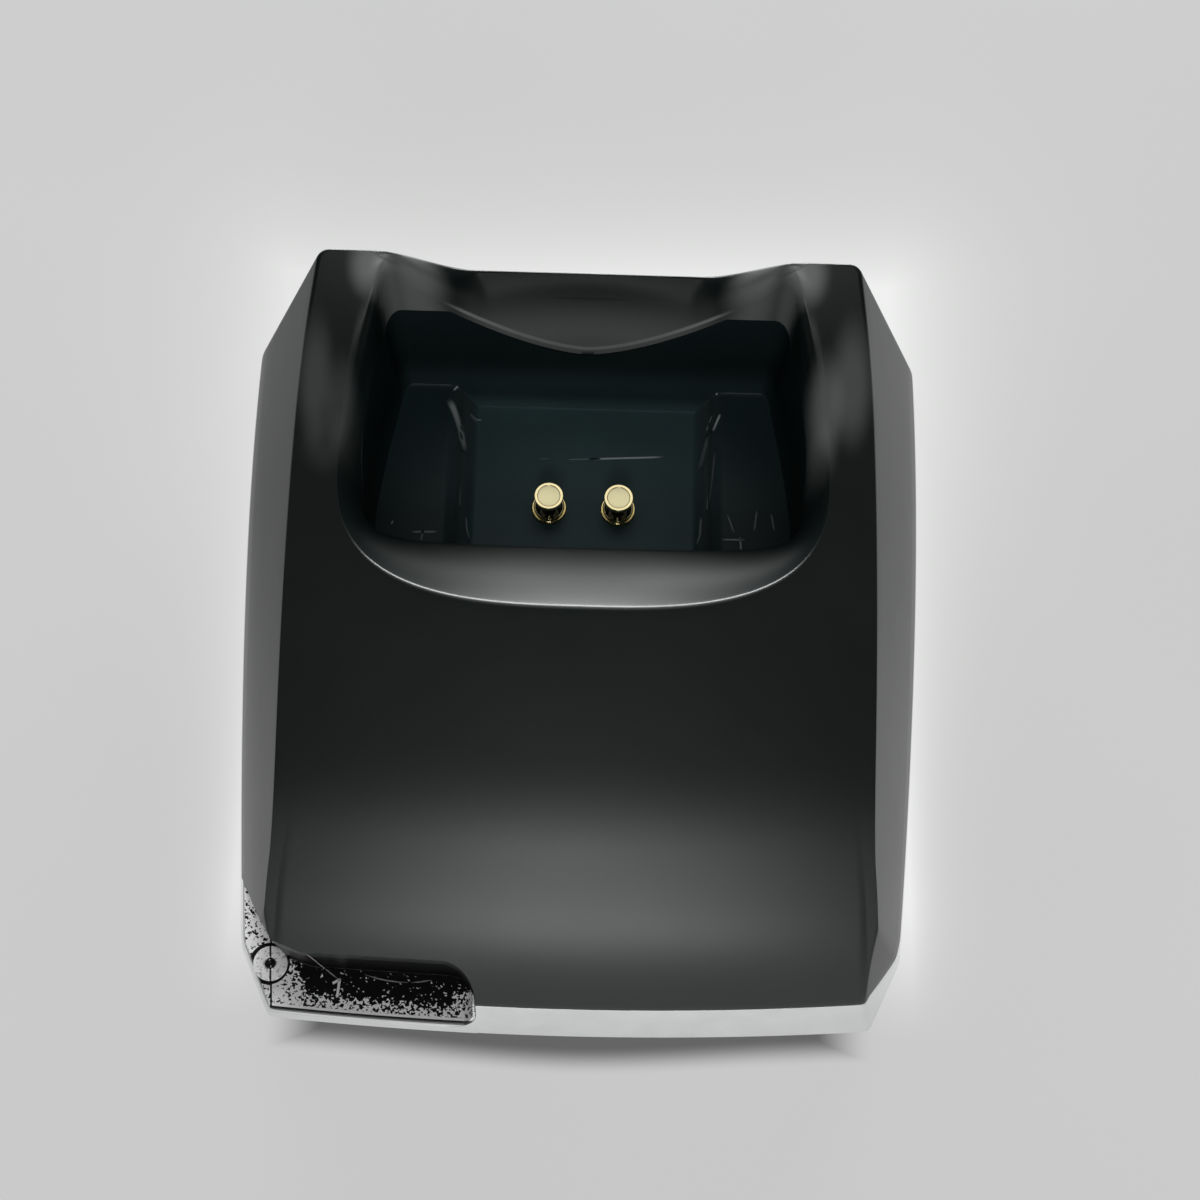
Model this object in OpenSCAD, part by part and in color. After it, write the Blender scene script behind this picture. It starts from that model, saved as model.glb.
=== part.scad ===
// Charging stand for a hair clipper: a drafted shell with a sloping front and a cradle well,
// standing on a bright base band. Front is -Y, the table is z = 0, lengths are millimetres.

/* [Body] */
// Half width of the foot at the rear end of the side
foot_half_w = 48.9; // [47:0.1:51]
// Half depth of the foot, front centre and rear wall
half_depth = 51.15; // [50.5:0.05:52]
// Height of the two rear corners
top_z = 52; // [51:0.25:53]
// Height at which the front of the shell meets the band
nose_z = 10; // [9:0.25:11]
// Inward lean of the sides, millimetres for each millimetre of height
side_draft = 0.314; // [0.28:0.002:0.33]
// Inward lean of the rear wall
rear_draft = 0.297; // [0.28:0.001:0.31]
// Wall thickness of the shell
wall = 2.2; // [1.8:0.1:2.4]
// Rise of the front panel at its middle over its side edges
crown = 1.1; // [0.6:0.1:1.6]

/* [Cradle] */
// Height of the floor of the well
floor_z = 14; // [13:0.25:15]
// Height of the two raised shoulders beside the channel
shoulder_z = 20; // [18:0.25:22]
// Half width of the channel at the floor
channel_half_w = 15.6; // [14:0.1:17]
// Wall thickness of the liner
liner_wall = 1.7; // [1.4:0.1:1.9]

/* [Contacts] */
// Distance between the two contact pins
contact_pitch = 9.5; // [8:0.25:11]
// Distance of the contact pins behind the middle of the stand
contact_y = 18.75; // [17:0.25:21]
// Diameter of the pin head
head_d = 3.9; // [3.4:0.1:4.4]
// Height of the top of the pin head
head_z = 18.5; // [18:0.1:19]
// Travel of a contact pin
pin_travel = 2; // [1:0.1:2]

/* [Base] */
// Height of the underside of the band over the table
base_z = 1.5; // [1:0.1:2]
// Height of the ledge in the front left corner
ledge_z = 3.6; // [3.2:0.1:4.2]
// Diameter of a rubber foot
foot_d = 9; // [7:0.5:11]

/* [Hidden] */

// Each closed outline has the same stations: front edge, cut corner, side, rear corner,
// rear shoulder and rear rim, counted on the right half and mirrored to the left.
end_front = 12;
end_cut = end_front + 3;
end_side = end_cut + 18;
end_corner = end_side + 4;
end_shoulder = end_corner + 4;
last = end_shoulder + 11;

// Foot outline, seen from above
corner_x = 39.6;
front_bow = 1.6;
front_corner = [corner_x, front_bow - half_depth];
cut_end = [44, -40.35];
side_bend = [foot_half_w + 0.4, 12];
rear_r = 4.5;
rear_straight_x = foot_half_w - rear_r;
shoulder_share = 0.845;

// How far the stations move in x and y for each millimetre of height
front_lean = 0.32;
front_corner_lean = [-0.2073, front_lean];
cut_end_lean = [-side_draft, 0.066];
rear_r_loss = 0.0634;

// Top panel: a straight ramp, a lift at the rear and a drop at the nose, along Y
ramp_z = 37.5;
ramp_slope = 0.32;
nose_half_w = 38;
crown_half_w = 37.5;
lift_y = 20.15;
rear_y = half_depth - rear_draft * (top_z - base_z);
rear_corner_x = 33;
lift_run = rear_y - lift_y;
lift_h = top_z - ramp_z - ramp_slope * rear_y - crown * (1 - pow(rear_corner_x / crown_half_w, 2));
drop_y = -20.85;
drop_run = 27;
drop_h = 12.03;
drop_power = 2.93;

// Crest of the well, where the panel turns down, and its two arms
crest = [30.1, 16.2];
crest_y = 12.25;
crest_power = 2.8;
arm_end = [25.5, 33];
arm_tip_y = 35.4;
arm_power = 2.2;

// Inner edge of the lead-in, round the well
edge = [28.2, 7.2];
edge_y = 14.2;
edge_power = 5;
edge_side_power = 1.3;
edge_side_end = [25.7, 31.6];
edge_corner = 1.9;
edge_rear = [edge_side_end[0] - edge_corner, 34.65];
edge_front_z = 29.5;
edge_rise = [7, 11];
edge_fall = [4.2, 2];
edge_fall_run = [24, 9];

// Rear rim: a saddle between the two rear corners
rim_low_z = 31;
rim_high_z = 49;
rim_half_w = 24.6;
rim_power = 1.6;
saddle_z = 44;
saddle_half_w = 13.5;
saddle_top_x = 27.6;
saddle_crest = [0.06, 0.6];
saddle_round = 0.55;

// Lip that holds the liner, and the hidden side of the shell: how far its roof lies below the panel
// at the roof's edges, between them and at the nose
lip_h = 1.6;
lip_low_max = 40;
lip_wall = 1.95;
roof = 2.6;
roof_mid = 2.5;
nose_roof = 2.4;
roof_max_z = 41;
roof_max_y = 36;
rear_roof_z = 40.8;
rear_wall = 1.8;

// Seam between band and shell: low along the sides, up the cut corners to the front
seam_side_h = 0.9;
seam_nose_drop = 0.7;
seam_low_y = -37.25;
seam_run = 9.6;
seam_probe_z = 6;

// Gap between faces that would otherwise lie in each other
seat = 0.02;

function smooth(t) = let (c = min(1, max(0, t))) c * c * (3 - 2 * c);
function mix(a, b, t) = a + (b - a) * t;
function share(j, from, to) = (j - from) / (to - from);
function unit(v) = v / norm(v);
function flat(p) = [p[0], p[1]];
function raised(p, z) = [p[0], p[1], z];

function rim_share(j) = j <= end_shoulder ? mix(1, shoulder_share, share(j, end_corner, end_shoulder))
    : shoulder_share * (1 - share(j, end_shoulder, last));
function foot_at(j) =
    j <= end_front ? let (t = j / end_front) [corner_x * t, -half_depth + front_bow * t * t]
    : j <= end_cut ? mix(front_corner, cut_end, share(j, end_front, end_cut))
    : j <= end_side ? let (t = share(j, end_cut, end_side), rear = [foot_half_w, half_depth - rear_r])
        (1 - t) * (1 - t) * cut_end + 2 * t * (1 - t) * side_bend + t * t * rear
    : j <= end_corner ? let (a = 90 * share(j, end_side, end_corner))
        [rear_straight_x + rear_r * cos(a), half_depth - rear_r + rear_r * sin(a)]
    : [rear_straight_x * rim_share(j), half_depth];
function lean_at(j) =
    j <= end_front ? let (t = j / end_front) [front_corner_lean[0] * t, front_lean]
    : j <= end_cut ? mix(front_corner_lean, cut_end_lean, share(j, end_front, end_cut))
    : j <= end_side ? [-side_draft, mix(cut_end_lean[1], -rear_draft, share(j, end_cut, end_side))]
    : j <= end_corner ? let (a = 90 * share(j, end_side, end_corner))
        [-side_draft + rear_r_loss * (1 - cos(a)), -rear_draft + rear_r_loss * (1 - sin(a))]
    : [(rear_r_loss - side_draft) * rim_share(j), -rear_draft];
FOOT = [for (j = [0:last]) foot_at(j)];
LEAN = [for (j = [0:last]) lean_at(j)];
INWARD = [for (j = [0:last]) let (
    d = j == 0 ? [1, 0] : j == last ? [-1, 0] : unit(FOOT[j + 1] - FOOT[j - 1])) [-d[1], d[0]]];
function skin(j, z) = FOOT[j] + (z - base_z) * LEAN[j];

// Height of the top panel over a point
function panel(p) =
    ramp_z + ramp_slope * p[1] + lift_h * pow(max(0, (p[1] - lift_y) / lift_run), 2)
    - drop_h * pow(max(0, (drop_y - p[1] + front_bow * pow(p[0] / nose_half_w, 2)) / drop_run), drop_power)
    + crown * (1 - pow(p[0] / crown_half_w, 2));

// Crease where the outer wall meets the panel, found by substituting the height again and again
meet_start_z = 40;
meet_steps = 12;
function meet(j, z = meet_start_z, steps = meet_steps) =
    steps == 0 ? z : meet(j, panel(skin(j, z)), steps - 1);
SHOULDER_TOP = meet(end_shoulder);
rim_probe_z = 48;
function crease_z(j) =
    j <= end_front ? nose_z
    : j <= end_shoulder ? meet(j)
    : mix(saddle_z, SHOULDER_TOP,
        smooth((skin(j, rim_probe_z)[0] - saddle_half_w) / (saddle_top_x - saddle_half_w)));
CREASE = [for (j = [0:last]) let (z = crease_z(j)) raised(skin(j, z), z)];

// A quarter of a rounded rectangle, t = 0 at the front and 1 at the side
function quarter(size, y, power, t) = let (
    a = 90 * t, c = pow(cos(a), 2 / power), s = pow(sin(a), 2 / power)) [size[0] * s, y - size[1] * c];

function rim_z(x) = rim_low_z + (rim_high_z - rim_low_z) * pow(min(1, x / rim_half_w), rim_power);
function edge_plan(j) =
    j <= end_cut ? quarter(edge, edge_y, edge_power, j / end_cut)
    : j <= end_side ? let (t = share(j, end_cut, end_side))
        [mix(edge[0], edge_side_end[0], pow(t, edge_side_power)), mix(edge_y, edge_side_end[1], t)]
    : j <= end_shoulder ? let (a = 90 * share(j, end_side, end_shoulder))
        [edge_side_end[0] - edge_corner * (1 - cos(a)), mix(edge_side_end[1], edge_rear[1], sin(a))]
    : [edge_rear[0] * (1 - share(j, end_shoulder, last)), edge_rear[1]];
function edge_height(j) = let (
    p = edge_plan(j),
    fall = mix(edge_fall[0], edge_fall[1], smooth((p[1] - edge_fall_run[0]) / edge_fall_run[1])),
    side = panel(p) - fall)
    j <= end_side ? mix(edge_front_z, side, smooth((p[1] - edge_rise[0]) / edge_rise[1]))
    : j <= end_shoulder ? mix(side, rim_z(edge_rear[0]), smooth(share(j, end_side, end_shoulder)))
    : rim_z(p[0]);
EDGE = [for (j = [0:last]) raised(edge_plan(j), edge_height(j))];

// Unit vectors that point out of the well at its inner edge
OUT = [for (j = [0:last]) let (p = EDGE[j])
    j <= end_cut ? let (n = edge_power - 1)
        unit([pow(p[0] / edge[0], n), -pow(max(0, (edge_y - p[1]) / edge[1]), n)])
    : j <= end_side ? [1, 0]
    : j <= end_shoulder ? let (a = 90 * share(j, end_side, end_shoulder)) [cos(a), sin(a)]
    : [0, 1]];
function outward(j, w) = flat(EDGE[j]) + w * OUT[j];

function arm_x(y) = let (t = max(0, (y - crest_y) / (rear_y - crest_y)))
    mix(crest[0], arm_end[0], pow(t, arm_power));
function crest_plan(j) =
    j <= end_cut ? quarter(crest, crest_y, crest_power, j / end_cut)
    : j <= end_side ? let (y = mix(crest_y, arm_end[1], share(j, end_cut, end_side))) [arm_x(y), y]
    : let (y = mix(arm_end[1], arm_tip_y, share(j, end_side, end_shoulder))) [arm_x(y), y];

// Goes from a to b partly straight and partly as a quarter of an ellipse, by the weight w
function turn(a, b, u, w) = [
    mix(a[0], b[0], mix(u, sin(90 * u), w)),
    mix(a[1], b[1], mix(u, sin(90 * u), w)),
    mix(a[2], b[2], mix(u, 1 - cos(90 * u), w))];
function saddle_share(j) = mix(saddle_crest[0], saddle_crest[1], smooth(2 * share(j, end_shoulder, last)));
function saddle(j, u) = turn(CREASE[j], EDGE[j], u, saddle_round);
CREST = [for (j = [0:last]) j <= end_shoulder ? let (p = crest_plan(j)) raised(p, panel(p))
    : saddle(j, saddle_share(j))];
function roll_weight(j) = smooth(share(j, end_front + 1, end_cut + 4));

// Rows from the crease to the crest, and from the crest to the inner edge
function top_row(j, v) = let (a = CREASE[j], p = mix(flat(a), flat(CREST[j]), v))
    v == 0 ? a
    : v == 1 ? CREST[j]
    : j <= end_shoulder ? raised(p, panel(p) + (1 - v) * (a[2] - panel(a)))
    : saddle(j, v * saddle_share(j));
function lead_row(j, u) = j <= end_shoulder ? turn(CREST[j], EDGE[j], u, roll_weight(j))
    : saddle(j, mix(saddle_share(j), 1, u));

// Points of the seam, and of the hidden side from the crease to the lip
function seam_z(j) = j <= end_front ? nose_z - seam_nose_drop
    : let (rise = (seam_low_y - skin(j, seam_probe_z)[1]) / seam_run)
        mix(base_z + seam_side_h, nose_z - seam_nose_drop, min(1, max(0, rise)));
function seam_point(j, inset) = raised(skin(j, seam_z(j)) + inset * INWARD[j], seam_z(j));
function ceiling_z(j) = roof_max_z + max(0, roof_max_y - CREASE[j][1]);
function under_crease(j) = let (
    c = CREASE[j],
    z = j <= end_front ? panel([c[0], c[1] + wall]) - nose_roof : min(c[2] - roof, ceiling_z(j)))
    raised(skin(j, j <= end_front ? nose_z : z) + (j <= end_side ? wall : rear_wall) * INWARD[j], z);
function under_crest(j) = let (
    c = crest_plan(j), o = outward(j, lip_wall),
    p = j <= end_front ? [c[0], min(c[1], o[1])] : j <= end_side ? [max(c[0], o[0]), c[1]] : o)
    raised(p, j <= end_side ? min(panel(p) - roof, ceiling_z(j)) : rear_roof_z);
function under_row(j, v) = let (
    a = under_crease(j), b = under_crest(j), p = mix(flat(a), flat(b), v))
    v == 0 ? a
    : v == 1 ? b
    : raised(p, j <= end_side ? min(panel(p) - roof_mid, ceiling_z(j)) : mix(a[2], b[2], v));
function lip_z(j) = min(EDGE[j][2] - lip_h, lip_low_max);

top_steps = 8;
lead_steps = 6;
under_steps = 4;
row_power = 1.35;
function shell_rows(j) = concat(
    [seam_point(j, 0)],
    [for (k = [0:top_steps]) top_row(j, pow(k / top_steps, row_power))],
    [for (k = [1:lead_steps]) lead_row(j, k / lead_steps)],
    [raised(EDGE[j], lip_z(j)), raised(outward(j, lip_wall), lip_z(j))],
    [for (k = [under_steps:-1:0]) under_row(j, pow(k / under_steps, row_power))],
    [seam_point(j, wall)]);

// All rows of half the outline, then its mirror image, and the same for a flat outline
function around(half) = concat(
    half, [for (j = [len(half) - 2:-1:1]) [for (p = half[j]) [-p[0], p[1], p[2]]]]);
function loop(half) = concat(half, [for (j = [len(half) - 2:-1:1]) [-half[j][0], half[j][1]]]);

// Two triangles for each step k to next_k along the rows, between a column and the one after it
function wall_faces(count, rows, k, next_k) = [for (i = [0:count - 1]) each let (
    a = i * rows, b = ((i + 1) % count) * rows)
    [[a + k, a + next_k, b + next_k], [a + k, b + next_k, b + k]]];

// A closed skin whose rows run round the opening and close on themselves
module closed_rings(columns) {
    count = len(columns);
    rows = len(columns[0]);
    polyhedron(
        points = [for (c = columns) each c],
        faces = [for (k = [0:rows - 1]) each wall_faces(count, rows, k, (k + 1) % rows)]);
}

// A solid between a lower and an upper outline
module capped_rings(columns) {
    count = len(columns);
    rows = len(columns[0]);
    polyhedron(
        points = [for (c = columns) each c],
        faces = concat(
            [for (k = [0:rows - 2]) each wall_faces(count, rows, k, k + 1)],
            [[for (i = [0:count - 1]) i * rows]],
            [[for (i = [count - 1:-1:0]) i * rows + rows - 1]]));
}

// A block inside the outer skin, between two heights and a gap in from it
module inset_block(low_z, high_z, gap) {
    capped_rings(around([for (j = [0:last]) [for (z = [low_z, high_z])
        raised(skin(j, z) + gap * INWARD[j], z)]]));
}

// The same shape on the left and on the right
module both_sides(place) {
    for (s = [-1, 1]) translate([s * place[0], place[1], 0]) children();
}

// Front left corner: the shell stops short and leaves a ledge with a window behind it
notch_start = [-45.1, -30.6];
notch_left = [-37.4, -42];
notch_knee = [-34, -43.2];
notch_back_y = -43.9;
notch_end_x = -12;
notch_r = 4.4;
notch_fillet = 3.6;
notch_low_z = ledge_z - 0.6;
clear_of_part = 60;
module notch_plan(grow = 0) {
    end_x = notch_end_x - notch_r;
    end_y = notch_back_y - notch_r;
    offset(delta = grow) union() {
        polygon([
            notch_start, notch_left, notch_knee, [end_x, notch_back_y], [end_x, -clear_of_part],
            [-clear_of_part, -clear_of_part], [-clear_of_part, notch_start[1]]]);
        translate([end_x, end_y]) circle(notch_r, $fn = 32);
        translate([end_x - notch_r, -clear_of_part]) square([2 * notch_r, clear_of_part + end_y]);
    }
}

// Upright section of the notch's floor: level, with a quarter circle up to the end, moved in by a gap
module notch_section(gap) {
    r = notch_fillet - gap;
    centre = [notch_end_x - notch_fillet, notch_low_z + notch_fillet];
    polygon(concat(
        [[-clear_of_part, clear_of_part], [-clear_of_part, centre[1] - r]],
        [for (a = [0:15:90]) centre + r * [sin(a), -cos(a)]],
        [[centre[0] + r, clear_of_part]]));
}
module along_y() {
    rotate([90, 0, 0]) linear_extrude(clear_of_part) children();
}
module notch_cut() {
    intersection() {
        linear_extrude(clear_of_part) notch_plan();
        along_y() notch_section(0);
    }
}

// Case screws: where they stand, how high their bosses are, and how far the ribs reach
plate_t = 2;
plate_z = base_z + plate_t;
screw_places = [[33, -24], [37, 38]];
boss_top = [26.1, 22];
boss_r = 3.3;
boss_taper = 0.4;
rib_t = 1.2;
rib_reach = [[8.4, 5.2], [7.4, 4.6]];
rib_z = [8, 20];
pilot_r = 1.2;
pilot_h = 15;
thin = 0.01;
module boss(k) {
    hull() {
        translate([0, 0, plate_z]) cylinder(h = thin, r = boss_r, $fn = 32);
        translate([0, 0, boss_top[k]]) cylinder(h = thin, r = boss_r - boss_taper, $fn = 32);
    }
    hull() for (i = [0, 1]) translate([0, -rib_t / 2, rib_z[i]]) cube([rib_reach[k][i], rib_t, 1]);
}

inlet_z = 9.6;
inlet_nose_r = 4;
inlet_gap = 0.1;
module top_housing() {
    color([0.06, 0.07, 0.07]) difference() {
        union() {
            closed_rings(around([for (j = [0:last]) shell_rows(j)]));
            for (k = [0, 1]) for (s = [0, 1]) mirror([s, 0, 0])
                translate([screw_places[k][0], screw_places[k][1], 0]) boss(k);
        }
        for (p = screw_places) both_sides(p) translate([0, 0, plate_z - 1])
            cylinder(h = pilot_h, r = pilot_r, $fn = 24);
        linear_extrude(clear_of_part) notch_plan();
        translate([0, clear_of_part, inlet_z]) rotate([90, 0, 0])
            cylinder(h = 20, r = inlet_nose_r + inlet_gap, $fn = 48);
    }
}

// Liner of the well: a drafted cup with a raised shoulder on each side of the channel
liner_draft = 0.02;
liner_floor_t = 2;
liner_top_gap = 0.05;
cup_low_z = floor_z - liner_floor_t;
function liner_point(j, t, z, shown_z) = raised(outward(j, t + liner_draft * (z - lip_low_max)), shown_z);
function liner_rows(j) = let (top = lip_z(j) - liner_top_gap) [
    liner_point(j, liner_wall, cup_low_z, cup_low_z), liner_point(j, liner_wall, top, top),
    liner_point(j, 0, top, top), liner_point(j, 0, floor_z, floor_z)];
shoulder_probe_z = floor_z + 4;
module liner_outline() {
    polygon(loop([for (j = [0:last])
        outward(j, liner_wall / 2 + liner_draft * (shoulder_probe_z - lip_low_max))]));
}

// Upright section of a shoulder: a foot, a leaning flank and a rounded edge
shoulder_r = 2.2;
flank_foot = [0.8, 0.6];
flank_lean = 1.4;
module shoulder_section() {
    rise = shoulder_z - floor_z;
    centre = [channel_half_w + flank_lean + shoulder_r, rise - shoulder_r];
    polygon(concat(
        [[channel_half_w - flank_foot[0], 0], [channel_half_w, flank_foot[1]]],
        [for (a = [0:15:90]) centre + shoulder_r * [-cos(a), sin(a)]],
        [[clear_of_part, rise], [clear_of_part, 0]]));
}

leg_places = [[21, 12], [21, 30.5]];
leg_r = 2.6;
board_z = 4.6;
board_t = 1.6;
board_top_z = board_z + board_t;
board_screw = [12, 28];
board_boss_r = 2.4;
board_screw_r = 0.9;
barrel_r = 1.7;
barrel_gap = 0.03;
module cradle_liner() {
    color([0.03, 0.06, 0.07]) difference() {
        union() {
            capped_rings(around([for (j = [0:last]) liner_rows(j)]));
            intersection() {
                translate([0, 0, floor_z - 1]) linear_extrude(10) liner_outline();
                for (s = [0, 1]) mirror([s, 0, 0]) translate([0, 40, floor_z - thin])
                    along_y() shoulder_section();
            }
            for (p = leg_places) both_sides(p) translate([0, 0, plate_z])
                cylinder(h = floor_z - 1 - plate_z, r = leg_r, $fn = 32);
            both_sides(board_screw) translate([0, 0, board_top_z])
                cylinder(h = floor_z - 1 - board_top_z, r = board_boss_r, $fn = 32);
        }
        both_sides([contact_pitch / 2, contact_y]) translate([0, 0, floor_z - 3])
            cylinder(h = 4, r = barrel_r + barrel_gap, $fn = 48);
        both_sides(board_screw) translate([0, 0, board_z]) cylinder(h = 6.5, r = board_screw_r, $fn = 24);
    }
}

// Bright band: upright in front and on the cut corners, a thin rim along the sides and rear
band_foot = 0.1;
function band_rows(j) = [
    raised(skin(j, base_z), base_z), seam_point(j, 0), seam_point(j, wall),
    raised(skin(j, base_z) + (wall + band_foot) * INWARD[j], base_z)];

// Plan of the ledge: the notch, and a strip behind it inside the shell's wall for the window
window_t = 1.4;
window_gap = 0.15;
ledge_margin = 0.2;
module ledge_plan() {
    notch_plan();
    intersection() {
        notch_plan(window_t + ledge_margin);
        polygon(loop([for (j = [0:last]) skin(j, ledge_z) + (wall + window_gap) * INWARD[j]]));
    }
}
module base_band() {
    color([0.85, 0.86, 0.87]) union() {
        difference() {
            closed_rings(around([for (j = [0:last]) band_rows(j)]));
            notch_cut();
        }
        intersection() {
            inset_block(base_z + seat, ledge_z, seat);
            linear_extrude(10) ledge_plan();
        }
    }
}

// Floor plate with recesses for screws and feet, and two pegs for the weight
plate_gap = 1;
foot_recess = 0.6;
foot_places = [[30, -34.5], [36, 28]];
foot_gap = 0.1;
screw_way_r = 1.7;
screw_head_room = [3, 2.1];
peg_place = [18, -18];
peg_r = 2;
peg_h = 6;
module plate_outline() {
    polygon(loop([for (j = [0:last]) FOOT[j] + (wall + plate_gap) * INWARD[j]]));
}
module bottom_plate() {
    below = base_z - 1;
    color([0.08, 0.08, 0.09]) difference() {
        union() {
            translate([0, 0, base_z]) linear_extrude(plate_t) difference() {
                plate_outline();
                notch_plan(window_t + ledge_margin + window_gap);
            }
            both_sides(peg_place) translate([0, 0, plate_z - thin]) cylinder(h = peg_h, r = peg_r, $fn = 32);
        }
        for (p = screw_places) both_sides(p) translate([0, 0, below]) {
            cylinder(h = 5, r = screw_way_r, $fn = 32);
            cylinder(h = screw_head_room[1], r = screw_head_room[0], $fn = 32);
        }
        for (p = foot_places) both_sides(p) translate([0, 0, below])
            cylinder(h = 1 + foot_recess, r = foot_d / 2 + foot_gap, $fn = 48);
    }
}

// Steel weight between the contacts and the front
weight_size = [52, 36, 5.5];
weight_front_y = -37;
weight_corner_r = 3;
module ballast_weight() {
    color([0.55, 0.56, 0.58]) difference() {
        translate([0, 0, plate_z]) linear_extrude(weight_size[2])
            offset(r = weight_corner_r, $fn = 32) offset(delta = -weight_corner_r)
            translate([-weight_size[0] / 2, weight_front_y]) square([weight_size[0], weight_size[1]]);
        both_sides(peg_place) translate([0, 0, plate_z - 1]) cylinder(h = 8, r = peg_r + 0.15, $fn = 32);
    }
}

// Board with its larger parts: corner and size of each block, and one round capacitor
board_size = [32, 34.5];
board_front_y = 9;
board_blocks = [
    [[-9, 10.5], [6, 4, 1.5]],
    [[3, 10.8], [4, 3, 1.1]],
    [[-7.5, 25], [5, 5, 2.6]]];
capacitor_at = [4.5, 26.5];
capacitor = [2, 4.6];
board_hole_r = 1.15;
module circuit_board() {
    color([0.05, 0.3, 0.14]) difference() {
        union() {
            translate([-board_size[0] / 2, board_front_y, board_z])
                cube([board_size[0], board_size[1], board_t]);
            for (b = board_blocks) translate([b[0][0], b[0][1], board_top_z]) cube(b[1]);
            translate([capacitor_at[0], capacitor_at[1], board_top_z])
                cylinder(h = capacitor[1], r = capacitor[0], $fn = 32);
        }
        both_sides(board_screw) translate([0, 0, board_z - 1]) cylinder(h = 4, r = board_hole_r, $fn = 32);
    }
}

// Spring contact: barrel with a collar on the floor, headed plunger, coil spring below it
bore_r = 1.3;
mouth_r = 1.05;
mouth_z = 13.4;
slide_gap = 0.05;
piston_low = 11.6;
spring_solid_h = 1.3;
chamber_z = piston_low - pin_travel - spring_solid_h;
module barrel_profile() {
    polygon([
        [0, board_top_z], [barrel_r, board_top_z], [barrel_r, floor_z],
        [2.45, floor_z], [2.45, floor_z + 0.35], [2.1, floor_z + 0.4], [2.1, floor_z + 0.75],
        [1.9, floor_z + 0.9], [mouth_r, floor_z + 0.9], [mouth_r, mouth_z], [bore_r, mouth_z],
        [bore_r, chamber_z], [0, chamber_z]]);
}
module pin_profile() {
    r = head_d / 2;
    polygon([
        [0, piston_low], [bore_r - slide_gap, piston_low], [bore_r - slide_gap, mouth_z - 0.1],
        [mouth_r - slide_gap, mouth_z - 0.1], [mouth_r - slide_gap, head_z - 1.3], [r - 0.35, head_z - 1.15],
        [r, head_z - 0.8], [r, head_z - 0.15], [r - 0.15, head_z], [r - 0.42, head_z],
        [r - 0.5, head_z - 0.12], [0, head_z - 0.12]]);
}
module at_contact(side) {
    translate([side * contact_pitch / 2, contact_y, 0]) children();
}
module contact_barrel(side) {
    color([0.85, 0.68, 0.25]) at_contact(side) rotate_extrude($fn = 64) barrel_profile();
}
module contact_pin(side) {
    color([0.9, 0.76, 0.35]) at_contact(side) rotate_extrude($fn = 64) pin_profile();
}

spring_turns = 5;
spring_wire_r = 0.1;
spring_r = 1;
spring_steps = 14;
spring_sides = 6;
function spring_point(i, k) = let (
    t = i / (spring_turns * spring_steps), a = 360 * i / spring_steps, b = 360 * k / spring_sides,
    z = mix(chamber_z + spring_wire_r + seat, piston_low - spring_wire_r - seat, t),
    r = spring_r + spring_wire_r * cos(b))
    [r * cos(a), r * sin(a), z + spring_wire_r * sin(b)];
module contact_spring(side) {
    count = spring_turns * spring_steps;
    color([0.8, 0.8, 0.82]) at_contact(side) polyhedron(
        points = [for (i = [0:count]) for (k = [0:spring_sides - 1]) spring_point(i, k)],
        faces = concat(
            [for (i = [0:count - 1]) for (k = [0:spring_sides - 1]) each let (
                a = i * spring_sides + k, b = i * spring_sides + (k + 1) % spring_sides,
                c = b + spring_sides, d = a + spring_sides) [[a, b, c], [a, c, d]]],
            [[for (k = [spring_sides - 1:-1:0]) k]],
            [[for (k = [0:spring_sides - 1]) count * spring_sides + k]]));
}

// Round power inlet in the rear wall, with its centre pin
inlet_box = [9.2, 8.2];
inlet_box_y = 37.4;
inlet_face_y = 48.2;
inlet_bore = [2.8, 9.3];
inlet_pin_r = 1;
inlet_pin_y = 46.8;
inlet_pin_l = 8.6;
module from_rear(y) {
    translate([0, y, inlet_z]) rotate([90, 0, 0]) children();
}
module power_inlet() {
    color([0.05, 0.05, 0.06]) difference() {
        union() {
            translate([-inlet_box[0] / 2, inlet_box_y, board_top_z])
                cube([inlet_box[0], inlet_box[1], 2 * (inlet_z - board_top_z)]);
            from_rear(inlet_face_y) cylinder(h = 4, r = inlet_nose_r, $fn = 64);
        }
        from_rear(inlet_face_y + 1) cylinder(h = inlet_bore[1] + 1, r = inlet_bore[0], $fn = 64);
        from_rear(inlet_face_y) cylinder(h = 12, r = inlet_pin_r + 0.05, center = true, $fn = 48);
    }
}
module inlet_centre_pin() {
    color([0.8, 0.8, 0.78]) from_rear(inlet_pin_y) union() {
        cylinder(h = inlet_pin_l, r = inlet_pin_r, $fn = 48);
        sphere(r = inlet_pin_r, $fn = 48);
    }
}

// Smoked window that closes the notch behind its edge
window_top = 12.8;
window_front_y = -46.1;
module status_window() {
    color([0.02, 0.02, 0.02]) intersection() {
        inset_block(ledge_z + seat, 20, wall + window_gap);
        translate([-clear_of_part, window_front_y, 0]) cube([clear_of_part, 40, window_top]);
        linear_extrude(30) difference() {
            notch_plan(window_t);
            notch_plan(0.05);
        }
    }
}

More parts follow.
